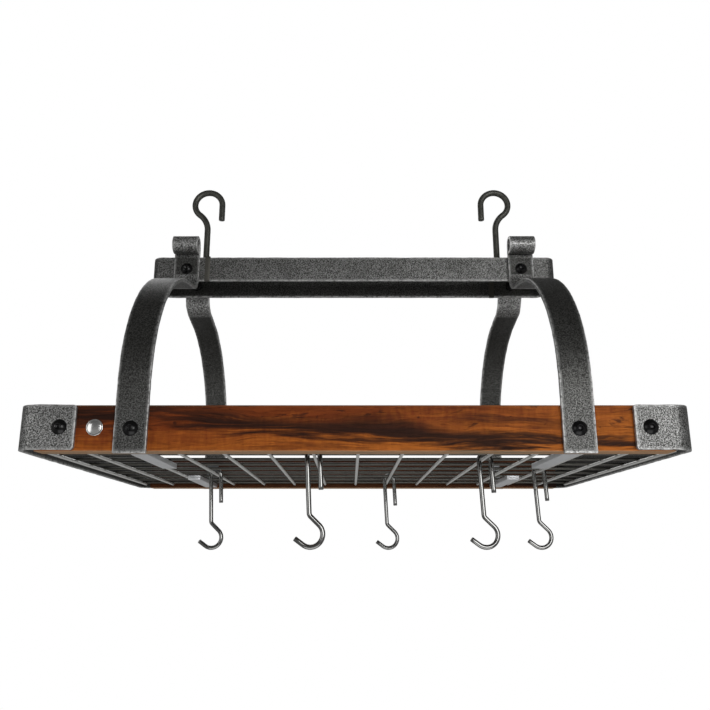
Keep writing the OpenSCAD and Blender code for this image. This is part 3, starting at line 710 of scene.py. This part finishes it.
class RACK_OT_boards(bpy.types.Operator):
    """Builds the two wooden boards with eased edges"""

    bl_idname = "rack.boards"
    bl_label = "Boards"

    def execute(self, context):
        edge, lip, steps = 0.0011, 0.0016, 40
        for node in ("front_board", "rear_board"):
            low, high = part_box(node)
            size = high - low
            centre = (high + low) / 2
            # Wear value 1 on the lower rounded edges is wear. Value 1 over the whole bottom face is a painted light
            # that turns that face pale tan. The other edges get 0.12.
            outline = []
            for cy, cz, start, span, count in (
                (1, 1, 0, size.y, 4), (-1, 1, 90, size.z, 8), (-1, -1, 180, size.y, 4), (1, -1, 270, size.z, 8),
            ):
                for turn in range(start, start + 91, 30):
                    ny, nz = math.cos(math.radians(turn)), math.sin(math.radians(turn))
                    y, z = cy * (size.y / 2 - edge) + edge * ny, cz * (size.z / 2 - edge) + edge * nz
                    outline.append((y, z, ny, nz, 1.0 if cz < 0 and nz < -0.4 else 0.12))
                first, flat = Vector((y, z)), Vector((ny, nz))
                way = Vector((-flat.y, flat.x))
                run = span - 2 * edge
                for r in [lip] + [run * i / count for i in range(1, count)] + [run - lip]:
                    outline.append((*(first + way * r), *flat, 1.0 if flat.y < -0.9 else 0.0))
            insets = [edge, edge * 0.5, edge * 0.134, 0.0, 0.0]
            ends = [0.0, edge * 0.134, edge * 0.5, edge, edge + lip]
            along = [low.x + x for x in ends] + [low.x + size.x * i / steps for i in range(1, steps)]
            along += [high.x - x for x in reversed(ends)]
            insets = insets + [0.0] * (steps - 1) + insets[::-1]
            verts, wear_and_light = [], []
            for x, inset in zip(along, insets):
                for y, z, ny, nz, k in outline:
                    verts.append(Vector((x, centre.y + y - ny * inset, centre.z + z - nz * inset)))
                    wear_and_light.append(k)
            faces = tube_faces(len(along), len(outline))
            piece_of(node + "_wood", (verts, faces, wear_and_light), "wood", nodes=(node,), sharp=35)
        return {"FINISHED"}


def loop_path(end, side, bend, first_x, last_x):
    """Outer face of a bar bent round one end of a rectangle, seen from above."""
    return chain(
        line((first_x, -side), (end - bend, -side), (0, -1), LONG_STEP),
        arc((end - bend, -side + bend), bend, math.radians(-90), 0, BEND_STEP),
        line((end, -side + bend), (end, side - bend), (1, 0), LONG_STEP),
        arc((end - bend, side - bend), bend, 0, math.radians(90), BEND_STEP),
        line((end - bend, side), (last_x, side), (0, 1), LONG_STEP),
    )


def level(flat, z):
    """A path seen from above, at a height."""
    return [(Vector((p.x, p.y, z)), Vector((w.x, w.y, 0))) for p, w in flat]


def loop_rub_and_shade(half_x, half_y, bend, most):
    """Rub of a bar bent round a rectangle: most on its outer face, little on its inner face, where the low value is
    painted shade.
    """
    skin, least = 0.002, 0.15

    def rub_and_light(point):
        x, y = abs(point.x) - half_x, abs(point.y) - half_y
        if x > -bend and y > -bend:
            off = math.hypot(x + bend, y + bend) - bend
        else:
            off = max(x, y)
        return most if off > -skin else least
    return rub_and_light


class RACK_OT_end_bands(bpy.types.Operator):
    """Builds the bands that wrap the two ends"""

    bl_idname = "rack.end_bands"
    bl_label = "End bands"

    def execute(self, context):
        s = context.scene.rack_bars
        end, side, bend = BAND_HIGH.x, BAND_HIGH.y, s.band_bend
        tip_x = end - s.band_leg
        flat = with_ends(loop_path(end, side, bend, tip_x, tip_x), END_STEPS + [0.0024, 0.004])
        path = level(flat, (BAND_HIGH.z + BAND_LOW.z) / 2)
        tall = BAND_HIGH.z - BAND_LOW.z
        shape = bent_bar(path, UP, tall, s.bar_thickness, s.edge_radius, s.forge_depth, s.band_tip)
        # The right band's lower top value is painted shade, which makes it darker than the left band.
        for hand, turn, most in (("right", 0, 0.72), ("left", math.pi, 1.0)):
            band = moved(shape, Matrix.Rotation(turn, 4, "Z"))
            rub_and_light = loop_rub_and_shade(end, side, bend, most)
            piece_of(hand + "_band", band, "hammered_steel", nodes=(hand + "_end_band",), rub_and_light=rub_and_light)
        return {"FINISHED"}


def strap_path(s, drop):
    """Outer face of a strap at the rear: (point, outward direction) in depth and height."""
    face = BAND_HIGH.y
    low_c = Vector((face - s.arch_low, s.strap_foot))
    turn, end = s.arch_turn, math.pi / 2 - s.arch_slope
    high_c = low_c + Vector((math.cos(turn), math.sin(turn))) * (s.arch_low - s.arch_high)
    run = high_c + Vector((math.cos(end), math.sin(end))) * s.arch_high
    frame_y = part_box("top_frame_front_half")[1].y
    bend_y = frame_y + s.bar_thickness + s.strap_bend
    run_end_y = bend_y - s.strap_bend * math.sin(s.arch_slope)
    run_end = Vector((run_end_y, run.y + (run.x - run_end_y) * math.tan(s.arch_slope)))
    bend_c = Vector((bend_y, run_end.y + s.strap_bend * math.cos(s.arch_slope)))
    frame_top = bend_c.y - s.frame_seat + s.bar_width
    scroll_c = Vector((frame_y + s.scroll, frame_top + s.scroll_rise))
    inner = s.scroll - s.bar_thickness
    bend = [(p, -w) for p, w in arc(bend_c, s.strap_bend, 1.5 * math.pi - s.arch_slope, math.pi, BEND_STEP)]
    scroll = [(p, -w) for p, w in arc(scroll_c, inner, math.pi, math.pi - s.scroll_turn, TIGHT_STEP)]
    return chain(
        line((face, -drop), (face, s.strap_foot), (1, 0), LONG_STEP),
        arc(low_c, s.arch_low, 0, turn, LONG_STEP),
        arc(high_c, s.arch_high, turn, end, LONG_STEP),
        line(run, run_end, (math.cos(end), math.sin(end)), LONG_STEP),
        bend,
        line(bend[-1][0], scroll[0][0], (1, 0), LONG_STEP),
        scroll,
    )


def strap_rub_and_light(point):
    """Rub and painted light of a strap: a painted highlight at its scroll, painted light under its upper bend, some
    more at its foot, least on the arch.
    """
    foot_top, foot_fade, scroll_low, scroll_fade = 0.11, 0.06, 0.318, 0.012
    bend_low, bend_high, bend_reach = 0.24, 0.292, 0.072
    rise = point.z - ROW_Z
    foot = min(1.0, max(0.0, (foot_top - rise) / foot_fade))
    scroll = min(1.0, max(0.0, (rise - scroll_low) / scroll_fade))
    # Painted light under the upper bend; the scroll term above is a painted highlight.
    lit_under_bend = 0.9 if abs(point.y) < bend_reach and bend_low < rise < bend_high else 0.0
    return 0.14 + 0.14 * foot + 1.50 * scroll + lit_under_bend


class RACK_OT_straps(bpy.types.Operator):
    """Builds the four arched straps with their scrolls"""

    bl_idname = "rack.straps"
    bl_label = "Arched straps"

    def execute(self, context):
        s = context.scene.rack_bars
        for corner, place in CORNERS.items():
            drop = s.rear_drop if corner.startswith("rear") else s.strap_drop
            flat = with_ends(strap_path(s, drop), END_STEPS + [0.0028])
            path = [(Vector((s.strap_x, p.x, p.y + ROW_Z)), Vector((0, w.x, w.y))) for p, w in flat]
            moved_path = [(place @ p, place.to_3x3() @ w) for p, w in path]
            shape = bent_bar(moved_path, RIGHT, s.bar_width, s.bar_thickness, s.edge_radius, s.forge_depth)
            name = "strap_" + corner
            piece_of("arched_" + name, shape, "hammered_steel", nodes=(name,), rub_and_light=strap_rub_and_light)
        return {"FINISHED"}


class RACK_OT_top_frame(bpy.types.Operator):
    """Builds the two halves of the top frame and the welds between them"""

    bl_idname = "rack.top_frame"
    bl_label = "Top frame"

    def execute(self, context):
        s = context.scene.rack_bars
        low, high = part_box("top_frame_front_half")
        end, side = high.x, high.y
        half_weld = s.weld_width / 2
        flat = loop_path(end, side, s.frame_bend, half_weld - s.weld_x, s.weld_x + half_weld)
        path = level(flat, (low.z + high.z) / 2)
        shape = bent_bar(path, UP, high.z - low.z, s.bar_thickness, s.edge_radius, s.forge_depth, cut=False)
        # The inner faces of both bars take the low value, as painted shade.
        rub_and_light = loop_rub_and_shade(end, side, s.frame_bend, 0.55)
        piece_of("top_frame_front_bar", shape, "hammered_steel", nodes=("top_frame_front_half",), rub_and_light=rub_and_light)
        turned = moved(shape, Matrix.Rotation(math.pi, 4, "Z"))
        piece_of("top_frame_rear_bar", turned, "hammered_steel", nodes=("top_frame_rear_half",), rub_and_light=rub_and_light)

        weld_low, weld_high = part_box("top_frame_welds")
        rows, columns, crown_rows, ripples, ease = 34, 9, 3, 15, 0.0012
        verts, wear_and_light = [], []
        for i in range(rows + 1):
            z = weld_low.z + (weld_high.z - weld_low.z) * i / rows
            past = max(0, i - rows + crown_rows) / crown_rows
            crown = math.cos(past * math.radians(62))
            inset = ease * (1 - crown)
            wander = 0.0004 * noise.noise(Vector((0, 0, z * 300)))
            for j in range(columns):
                a = -1 + 2 * j / (columns - 1)
                ripple = 0.5 + 0.5 * math.cos(2 * math.pi * (i / rows * ripples + 0.35 * a * a))
                proud = s.weld_proud * (1 - a * a) * (0.72 + 0.28 * ripple)
                x = -s.weld_x + a * (half_weld - inset) + wander * (1 - abs(a))
                verts.append(Vector((x, -side - proud * crown + inset, z)))
                wear_and_light.append(0.35 + 0.5 * ripple * (1 - a * a))
            for a in (1, -1):
                verts.append(Vector((-s.weld_x + a * (half_weld - inset), -side + s.bar_thickness - inset, z)))
                wear_and_light.append(0.2)
        bead = (verts, tube_faces(rows + 1, columns + 2), wear_and_light)
        parts = [moved(bead, Matrix.Rotation(turn, 4, "Z")) for turn in (0, math.pi)]
        piece_of("frame_weld_beads", merge(parts), "weld", nodes=("top_frame_welds",), sharp=60)
        return {"FINISHED"}


class RACK_OT_ceiling_hooks(bpy.types.Operator):
    """Builds the ceiling hooks with their nuts and cross plates"""

    bl_idname = "rack.ceiling_hooks"
    bl_label = "Ceiling hooks"

    def execute(self, context):
        r = context.scene.rack_rods
        low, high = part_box("ceiling_hook_right")
        crook_z = high.z - r.crook - r.hook_rod / 2
        drop, reach, step = 0.8, 0.6, 0.0022
        neck_c = Vector((r.neck, -(r.neck + r.crook) * drop))
        start = math.atan2(-drop, reach)
        points = [p for p, _ in chain(
            line((0, low.z - crook_z), (0, neck_c.y), (1, 0), LONG_STEP),
            arc(neck_c, r.neck, math.pi, math.pi + start, step),
            arc((0, 0), r.crook, start, math.pi, step),
            line((-r.crook, 0), (-r.crook, -r.hook_tip), (1, 0), WIRE_STEP),
        )]
        path = [Vector((p.x, 0, crook_z + p.y)) for p in points]
        shape = rod(path, r.hook_rod / 2, r.sides, BACK, edge=0.0008)
        play, plate_edge, plate_gaps = 0.0001, 0.0006, 0.0006
        bore = r.hook_rod / 2 + play
        swivels = {j["child"]: j["pos_m"][0] for j in frame["joints"] if j["name"].endswith("swivel")}
        for side, place in (("right", Matrix.Identity(4)), ("left", MIRROR_X)):
            hanger = side + "_hanger"
            hook = moved(shape, Matrix.Translation((swivels[hanger], 0, 0)) @ place)
            piece_of(side + "_ceiling_hook_rod", hook, "hanger_steel", hanger, ("ceiling_hook_" + side,))
            low_p, high_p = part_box("hook_plate_" + side)
            centre = (low_p + high_p) / 2
            size = high_p - low_p
            plate = holed_plate(size.x / 2, size.y / 2, size.z, bore, plate_edge)
            plate = moved(plate, Matrix.Translation((centre.x, centre.y, low_p.z)))
            piece_of(side + "_cross_plate", plate, "hammered_steel", "rack", ("hook_plate_" + side,), sharp=30)
            low_n, high_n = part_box("hook_nuts_" + side)
            tall = (high_n.z - low_n.z - size.z - plate_gaps) / 2
            one = nut(high_n.y - low_n.y, tall, bore)
            pair = [moved(one, Matrix.Translation((centre.x, 0, z))) for z in (low_n.z, high_n.z - tall)]
            piece_of(side + "_hook_nut_pair", merge(pair), "hanger_steel", hanger, ("hook_nuts_" + side,), sharp=30)
        return {"FINISHED"}


class RACK_OT_grid(bpy.types.Operator):
    """Builds the wire grid, with a weld where two rods cross"""

    bl_idname = "rack.grid"
    bl_label = "Wire grid"

    def execute(self, context):
        r = context.scene.rack_rods
        radius, sides, steps, slack = r.grid_rod / 2, 20, 24, 0.0005
        places = {}
        for node, key in (("grid_long_rods", 1), ("grid_cross_rods", 0)):
            groups = []
            for value in sorted({round(v.co[key], 5) for v in frame["nodes"][node].data.vertices}):
                if groups and value - groups[-1][0] < r.grid_rod + slack:
                    groups[-1].append(value)
                else:
                    groups.append([value])
            places[node] = [(g[0] + g[-1]) / 2 for g in groups]
        long_low, long_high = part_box("grid_long_rods")
        cross_low, cross_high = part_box("grid_cross_rods")
        long_z, cross_z = (long_low.z + long_high.z) / 2, (cross_low.z + cross_high.z) / 2
        longs, crosses = [], []
        for y in places["grid_long_rods"]:
            xs = [long_low.x + (long_high.x - long_low.x) * i / steps for i in range(steps + 1)]
            longs.append(rod([Vector((x, y, long_z)) for x in xs], radius, sides, UP))
        for x in places["grid_cross_rods"]:
            ys = [cross_low.y + (cross_high.y - cross_low.y) * i / steps for i in range(steps + 1)]
            verts, faces, wear_and_light = rod([Vector((x, y, cross_z)) for y in ys], radius, sides, UP)
            # Full wear value on every cross rod paints it with the bright cross-rod colour: a painted reflection.
            crosses.append((verts, faces, [1.0] * len(wear_and_light)))
        turns = [math.radians(b) for b in (-50, -20, 20, 50)]
        levels = [(-1, None, 0.5)] + [(math.sin(a), math.cos(a), 0.5) for a in turns] + [(1, None, 0.5)]
        bead = rings(levels, ring_angles(count=10))
        bead_reach, bead_rise = 0.0022, 0.0015
        size = Matrix.Diagonal((bead_reach, bead_reach, bead_rise, 1))
        for x in places["grid_cross_rods"]:
            for y in places["grid_long_rods"]:
                crosses.append(moved(bead, Matrix.Translation((x, y, (long_z + cross_z) / 2)) @ size))
        piece_of("grid_long_wires", merge(longs), "grid_steel", "grid", ("grid_long_rods",), sharp=60)
        piece_of("grid_cross_wires", merge(crosses), "grid_steel", "grid", ("grid_cross_rods",), sharp=60)
        return {"FINISHED"}


class RACK_OT_brackets(bpy.types.Operator):
    """Builds the four bent brackets that carry the grid"""

    bl_idname = "rack.brackets"
    bl_label = "Grid brackets"

    def execute(self, context):
        s = context.scene.rack_bars
        low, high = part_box("bracket_rear_right")
        middle = (low.x + high.x) / 2
        bend, edge, foot_step = s.bracket_bend, 0.0005, 0.008
        flat = chain(
            line((high.y, high.z), (high.y, low.z + bend), (1, 0), LONG_STEP),
            arc((high.y - bend, low.z + bend), bend, 0, -math.pi / 2, TIGHT_STEP),
            line((high.y - bend, low.z), (low.y, low.z), (0, -1), foot_step),
        )
        flat = with_ends(flat, [0.0001, 0.0003, 0.0006, 0.0012])
        for corner, place in CORNERS.items():
            turn = place.to_3x3()
            path = [(place @ Vector((middle, p.x, p.y)), turn @ Vector((0, w.x, w.y))) for p, w in flat]
            verts, faces, _ = bent_bar(path, RIGHT, s.bracket_width, s.bracket_thickness, edge, 0.0)
            # The foot gets the bright bracket colour as painted reflection; the rest keeps the darker copy as
            # painted shade.
            wear_and_light = [1.0 if v.z < low.z + s.bracket_thickness + edge else 0.0 for v in verts]
            piece_of("grid_rest_" + corner, (verts, faces, wear_and_light), "bracket_steel", nodes=("bracket_" + corner,))
        return {"FINISHED"}


class RACK_OT_screws(bpy.types.Operator):
    """Builds the black screws and the nuts inside the top frame"""

    bl_idname = "rack.screws"
    bl_label = "Screws and nuts"

    def execute(self, context):
        s = context.scene.rack_screws
        for node, name, turns in (
            ("band_screws", "band_button_screws", (8, 37, 21, 50)),
            ("strap_lower_screws", "strap_foot_screws", (14, 2, 44, 27)),
            ("strap_upper_screws", "strap_top_screws", (31, 49, 5, 18)),
        ):
            low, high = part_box(node)
            inner_y = min(v.co.y for v in frame["nodes"][node].data.vertices if v.co.x > 0 and v.co.y > 0)
            shape = screw(s, high.y - inner_y - s.head_height)
            at = Matrix.Translation((high.x - s.head / 2, high.y - s.head_height, (low.z + high.z) / 2))
            at = at @ Matrix.Rotation(-math.pi / 2, 4, "X")
            parts = []
            for turn, place in zip(turns, CORNERS.values()):
                parts.append(moved(shape, place @ at @ Matrix.Rotation(math.radians(turn), 4, "Z")))
            piece_of(name, merge(parts), "black_screw", nodes=(node,), sharp=32)
        low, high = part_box("strap_upper_nuts")
        tall, play = 0.0082, 0.0002
        one = nut(high.z - low.z, tall, s.shank / 2 + play)
        at = Matrix.Translation((context.scene.rack_bars.strap_x, high.y, (low.z + high.z) / 2))
        at = at @ Matrix.Rotation(math.pi / 2, 4, "X")
        parts = [moved(one, place @ at) for place in CORNERS.values()]
        piece_of("strap_top_nuts", merge(parts), "black_screw", nodes=("strap_upper_nuts",), sharp=30)
        return {"FINISHED"}


class RACK_OT_badge(bpy.types.Operator):
    """Builds the plain polished disc on the front board"""

    bl_idname = "rack.badge"
    bl_label = "Disc"

    def execute(self, context):
        s = context.scene.rack_screws
        low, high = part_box("badge_disc")
        r, rim, rise = s.badge / 2, s.badge_rim, s.badge_dome
        dome, count = r * 0.80, 10
        levels = [(0.0, None, 0.0), (0.0, r, 0.0), (rim - 0.0004, r, 1.0), (rim - 0.0001, r - 0.0002, 1.0)]
        levels += [(rim, r - 0.0005, 0.6), (rim, dome + 0.0005, 0.0), (rim - 0.0004, dome + 0.0002, 0.0)]
        cap = (dome**2 + rise**2) / (2 * rise)
        for i in range(count):
            reach = dome * (1 - i / count)
            levels.append((rim + rise - cap + math.sqrt(cap**2 - reach**2), reach, 0.0))
        levels.append((rim + rise, None, 0.0))
        shape = rings(levels, ring_angles(count=64))
        centre = (low + high) / 2
        at = Matrix.Translation((centre.x, high.y, centre.z)) @ Matrix.Rotation(math.pi / 2, 4, "X")
        piece_of("polished_disc", moved(shape, at), "chrome", nodes=("badge_disc",), sharp=40)
        return {"FINISHED"}


class RACK_OT_pot_hooks(bpy.types.Operator):
    """Builds the five pot hooks"""

    bl_idname = "rack.pot_hooks"
    bl_label = "Pot hooks"

    def execute(self, context):
        r = context.scene.rack_rods
        pivots = {j["child"]: j["pos_m"] for j in frame["joints"] if j["name"].startswith("hook_swing")}
        turn, past = r.leg_angle, r.bowl_turn
        inward = Vector((-math.cos(turn), -math.sin(turn)))
        bend_c = Vector((r.leg_bend - r.saddle, -r.long_leg))
        lead_start = bend_c + inward * r.leg_bend
        lead_end = lead_start + Vector((math.sin(turn), -math.cos(turn))) * r.lead
        bowl_c = lead_end + inward * r.bowl
        tip_start = bowl_c + Vector((-math.sin(past), -math.cos(past))) * r.bowl
        tip_end = tip_start + Vector((-math.cos(past), math.sin(past))) * r.pot_tip
        saddle_step, leg_step, bowl_step = 0.0013, 0.0011, 0.0015
        points = [p for p, _ in chain(
            line((r.saddle, -r.short_leg), (r.saddle, 0), (1, 0), LONG_STEP),
            arc((0, 0), r.saddle, 0, math.pi, saddle_step),
            line((-r.saddle, 0), (-r.saddle, -r.long_leg), (1, 0), LONG_STEP),
            arc(bend_c, r.leg_bend, math.pi, math.pi + turn, leg_step),
            line(lead_start, lead_end, (1, 0), WIRE_STEP),
            arc(bowl_c, r.bowl, turn, -math.pi / 2 - past, bowl_step),
            line(tip_start, tip_end, (1, 0), WIRE_STEP),
        )]
        gap = 0.0003
        lift = r.grid_rod / 2 + gap + r.wire / 2 - r.saddle
        for number in range(1, 6):
            body = "swing_hook_%d" % number
            name = "pot_hook_wire_%d" % number
            at = Matrix.Translation(pivots[body]) @ Matrix.Rotation(r.tilt, 4, "Y")
            wire = rod([at @ Vector((p.x, 0, p.y + lift)) for p in points], r.wire / 2, r.sides, BACK)
            piece_of(name, wire, "chrome", body, ("pot_hook_%d" % number,), look="hook_wire")
        return {"FINISHED"}


# Stage


def area_light(name, place, aim, size, watts):
    data = bpy.data.lights.new(name, "AREA")
    data.shape = "RECTANGLE"
    data.size, data.size_y = size
    data.energy = watts
    lamp = bpy.data.objects.new(name, data)
    lamp.location = place
    lamp.rotation_euler = (Vector(aim) - Vector(place)).to_track_quat("-Z", "Y").to_euler()
    bpy.context.scene.collection.objects.link(lamp)


class RACK_OT_stage(bpy.types.Operator):
    """Builds the floor, the surroundings, the lights and the camera"""

    bl_idname = "rack.stage"
    bl_label = "Stage"

    def execute(self, context):
        s = context.scene.rack_stage
        scene = context.scene
        data = bpy.data.cameras.new("front_camera")
        sensor, nearest, farthest = 36.0, 0.01, 100.0
        data.lens, data.sensor_width, data.shift_x = s.camera_lens, sensor, s.camera_shift
        data.clip_start, data.clip_end = nearest, farthest
        camera = bpy.data.objects.new("front_camera", data)
        camera.location = s.camera_place
        camera.rotation_euler = (math.pi / 2 + s.camera_pitch, 0, 0)
        scene.collection.objects.link(camera)
        scene.camera = camera

        mesh = bpy.data.meshes.new("floor")
        reach = 24.0
        corners = [(x * reach, y * reach, s.floor_z) for x, y in ((-1, -1), (1, -1), (1, 1), (-1, 1))]
        mesh.from_pydata(corners, [], [(0, 1, 2, 3)])
        floor = bpy.data.objects.new("floor", mesh)
        scene.collection.objects.link(floor)
        f = Finish(bpy.data.materials.new("pale_floor"))
        away = f.add("ShaderNodeVectorMath", {0: f.scaled((1.0, 1.0, 0.0))}, operation="LENGTH").outputs["Value"]
        fade = {"Value": away, "From Min": 1.6, "From Max": 5.0}
        far = f.add("ShaderNodeMapRange", fade, interpolation_type="SMOOTHSTEP").outputs["Result"]
        rays = f.add("ShaderNodeLightPath").outputs
        direct = f.times(f.sum("MULTIPLY_ADD", far, 0.22, 0.78), rays["Is Camera Ray"])
        mirrored = f.times(f.times(far, rays["Is Glossy Ray"]), 0.25)
        tone = f.ramp(f.noise(3.0, 4.0, 0.6), [(0.3, (0.80, 0.80, 0.795)), (0.7, (0.83, 0.83, 0.825))])
        mesh.materials.append(f.done(Base_Color=tone, Roughness=0.7))
        f.cover(f.sum("ADD", direct, mirrored), f.add("ShaderNodeEmission"))

        scene.world = bpy.data.worlds.new("studio")
        w = Finish(scene.world, "Background", "Generated")
        rise = w.add("ShaderNodeSeparateXYZ", {"Vector": w.place}).outputs["Z"]
        levels = [(0.0, 0.95), (0.28, 0.60), (0.62, 0.44), (1.0, 0.40)]
        w.done(Color=w.ramp(rise, [(place, (v, v, v * 0.99)) for place, v in levels]), Strength=s.sky)
        white = w.add("ShaderNodeBackground", {"Color": (1, 1, 1)})
        w.cover(w.add("ShaderNodeLightPath").outputs["Is Camera Ray"], white)

        area_light("key_light", (1.0, -2.4, -0.1), (0, -0.1, -0.36), (1.6, 1.2), s.key_power)
        area_light("fill_light", (-1.9, -1.6, -0.2), (0, -0.1, -0.36), (1.2, 1.4), s.fill_power)
        area_light("back_light", (-0.6, 1.9, 1.3), (0, 0, -0.25), (2.0, 1.6), s.back_power)
        area_light("low_light", (0.1, -1.0, -1.9), (0, 0, -0.42), (1.8, 1.2), s.low_power)
        scene.view_settings.view_transform = "Standard"
        return {"FINISHED"}


class RACK_PT_panel(bpy.types.Panel):
    """Sizes, finishes and pieces of the rack"""

    bl_idname = "RACK_PT_panel"
    bl_label = "Pot Rack"
    bl_space_type = "VIEW_3D"
    bl_region_type = "UI"
    bl_category = "Pot Rack"

    def draw(self, context):
        titles = {
            "rack_bars": "Bars", "rack_rods": "Rods", "rack_screws": "Screws",
            "rack_finishes": "Finishes", "rack_stage": "Stage",
        }
        for key, title in titles.items():
            group = getattr(context.scene, key)
            box = self.layout.box()
            box.label(text=title)
            for prop in group.bl_rna.properties:
                if prop.identifier not in ("rna_type", "name"):
                    box.prop(group, prop.identifier)
        column = self.layout.column(align=True)
        for operator in OPERATORS:
            column.operator(operator.bl_idname)


OPERATORS = (
    RACK_OT_boards,
    RACK_OT_end_bands,
    RACK_OT_straps,
    RACK_OT_top_frame,
    RACK_OT_ceiling_hooks,
    RACK_OT_grid,
    RACK_OT_brackets,
    RACK_OT_screws,
    RACK_OT_badge,
    RACK_OT_pot_hooks,
    RACK_OT_stage,
)
GROUPS = {
    "rack_bars": RackBarSizes,
    "rack_rods": RackRodSizes,
    "rack_screws": RackScrewSizes,
    "rack_finishes": RackFinishes,
    "rack_stage": RackStageSizes,
}


def register():
    for group in GROUPS.values():
        bpy.utils.register_class(group)
    for key, group in GROUPS.items():
        setattr(bpy.types.Scene, key, PointerProperty(type=group))
    for operator in OPERATORS:
        bpy.utils.register_class(operator)
    bpy.utils.register_class(RACK_PT_panel)


def unregister():
    bpy.utils.unregister_class(RACK_PT_panel)
    for operator in reversed(OPERATORS):
        bpy.utils.unregister_class(operator)
    for key in GROUPS:
        delattr(bpy.types.Scene, key)
    for group in reversed(GROUPS.values()):
        bpy.utils.unregister_class(group)


def main():
    register()
    bpy.ops.rack.boards()
    bpy.ops.rack.end_bands()
    bpy.ops.rack.straps()
    bpy.ops.rack.top_frame()
    bpy.ops.rack.ceiling_hooks()
    bpy.ops.rack.grid()
    bpy.ops.rack.brackets()
    bpy.ops.rack.screws()
    bpy.ops.rack.badge()
    bpy.ops.rack.pot_hooks()
    bpy.ops.rack.stage()


if __name__ == "__main__":
    main()
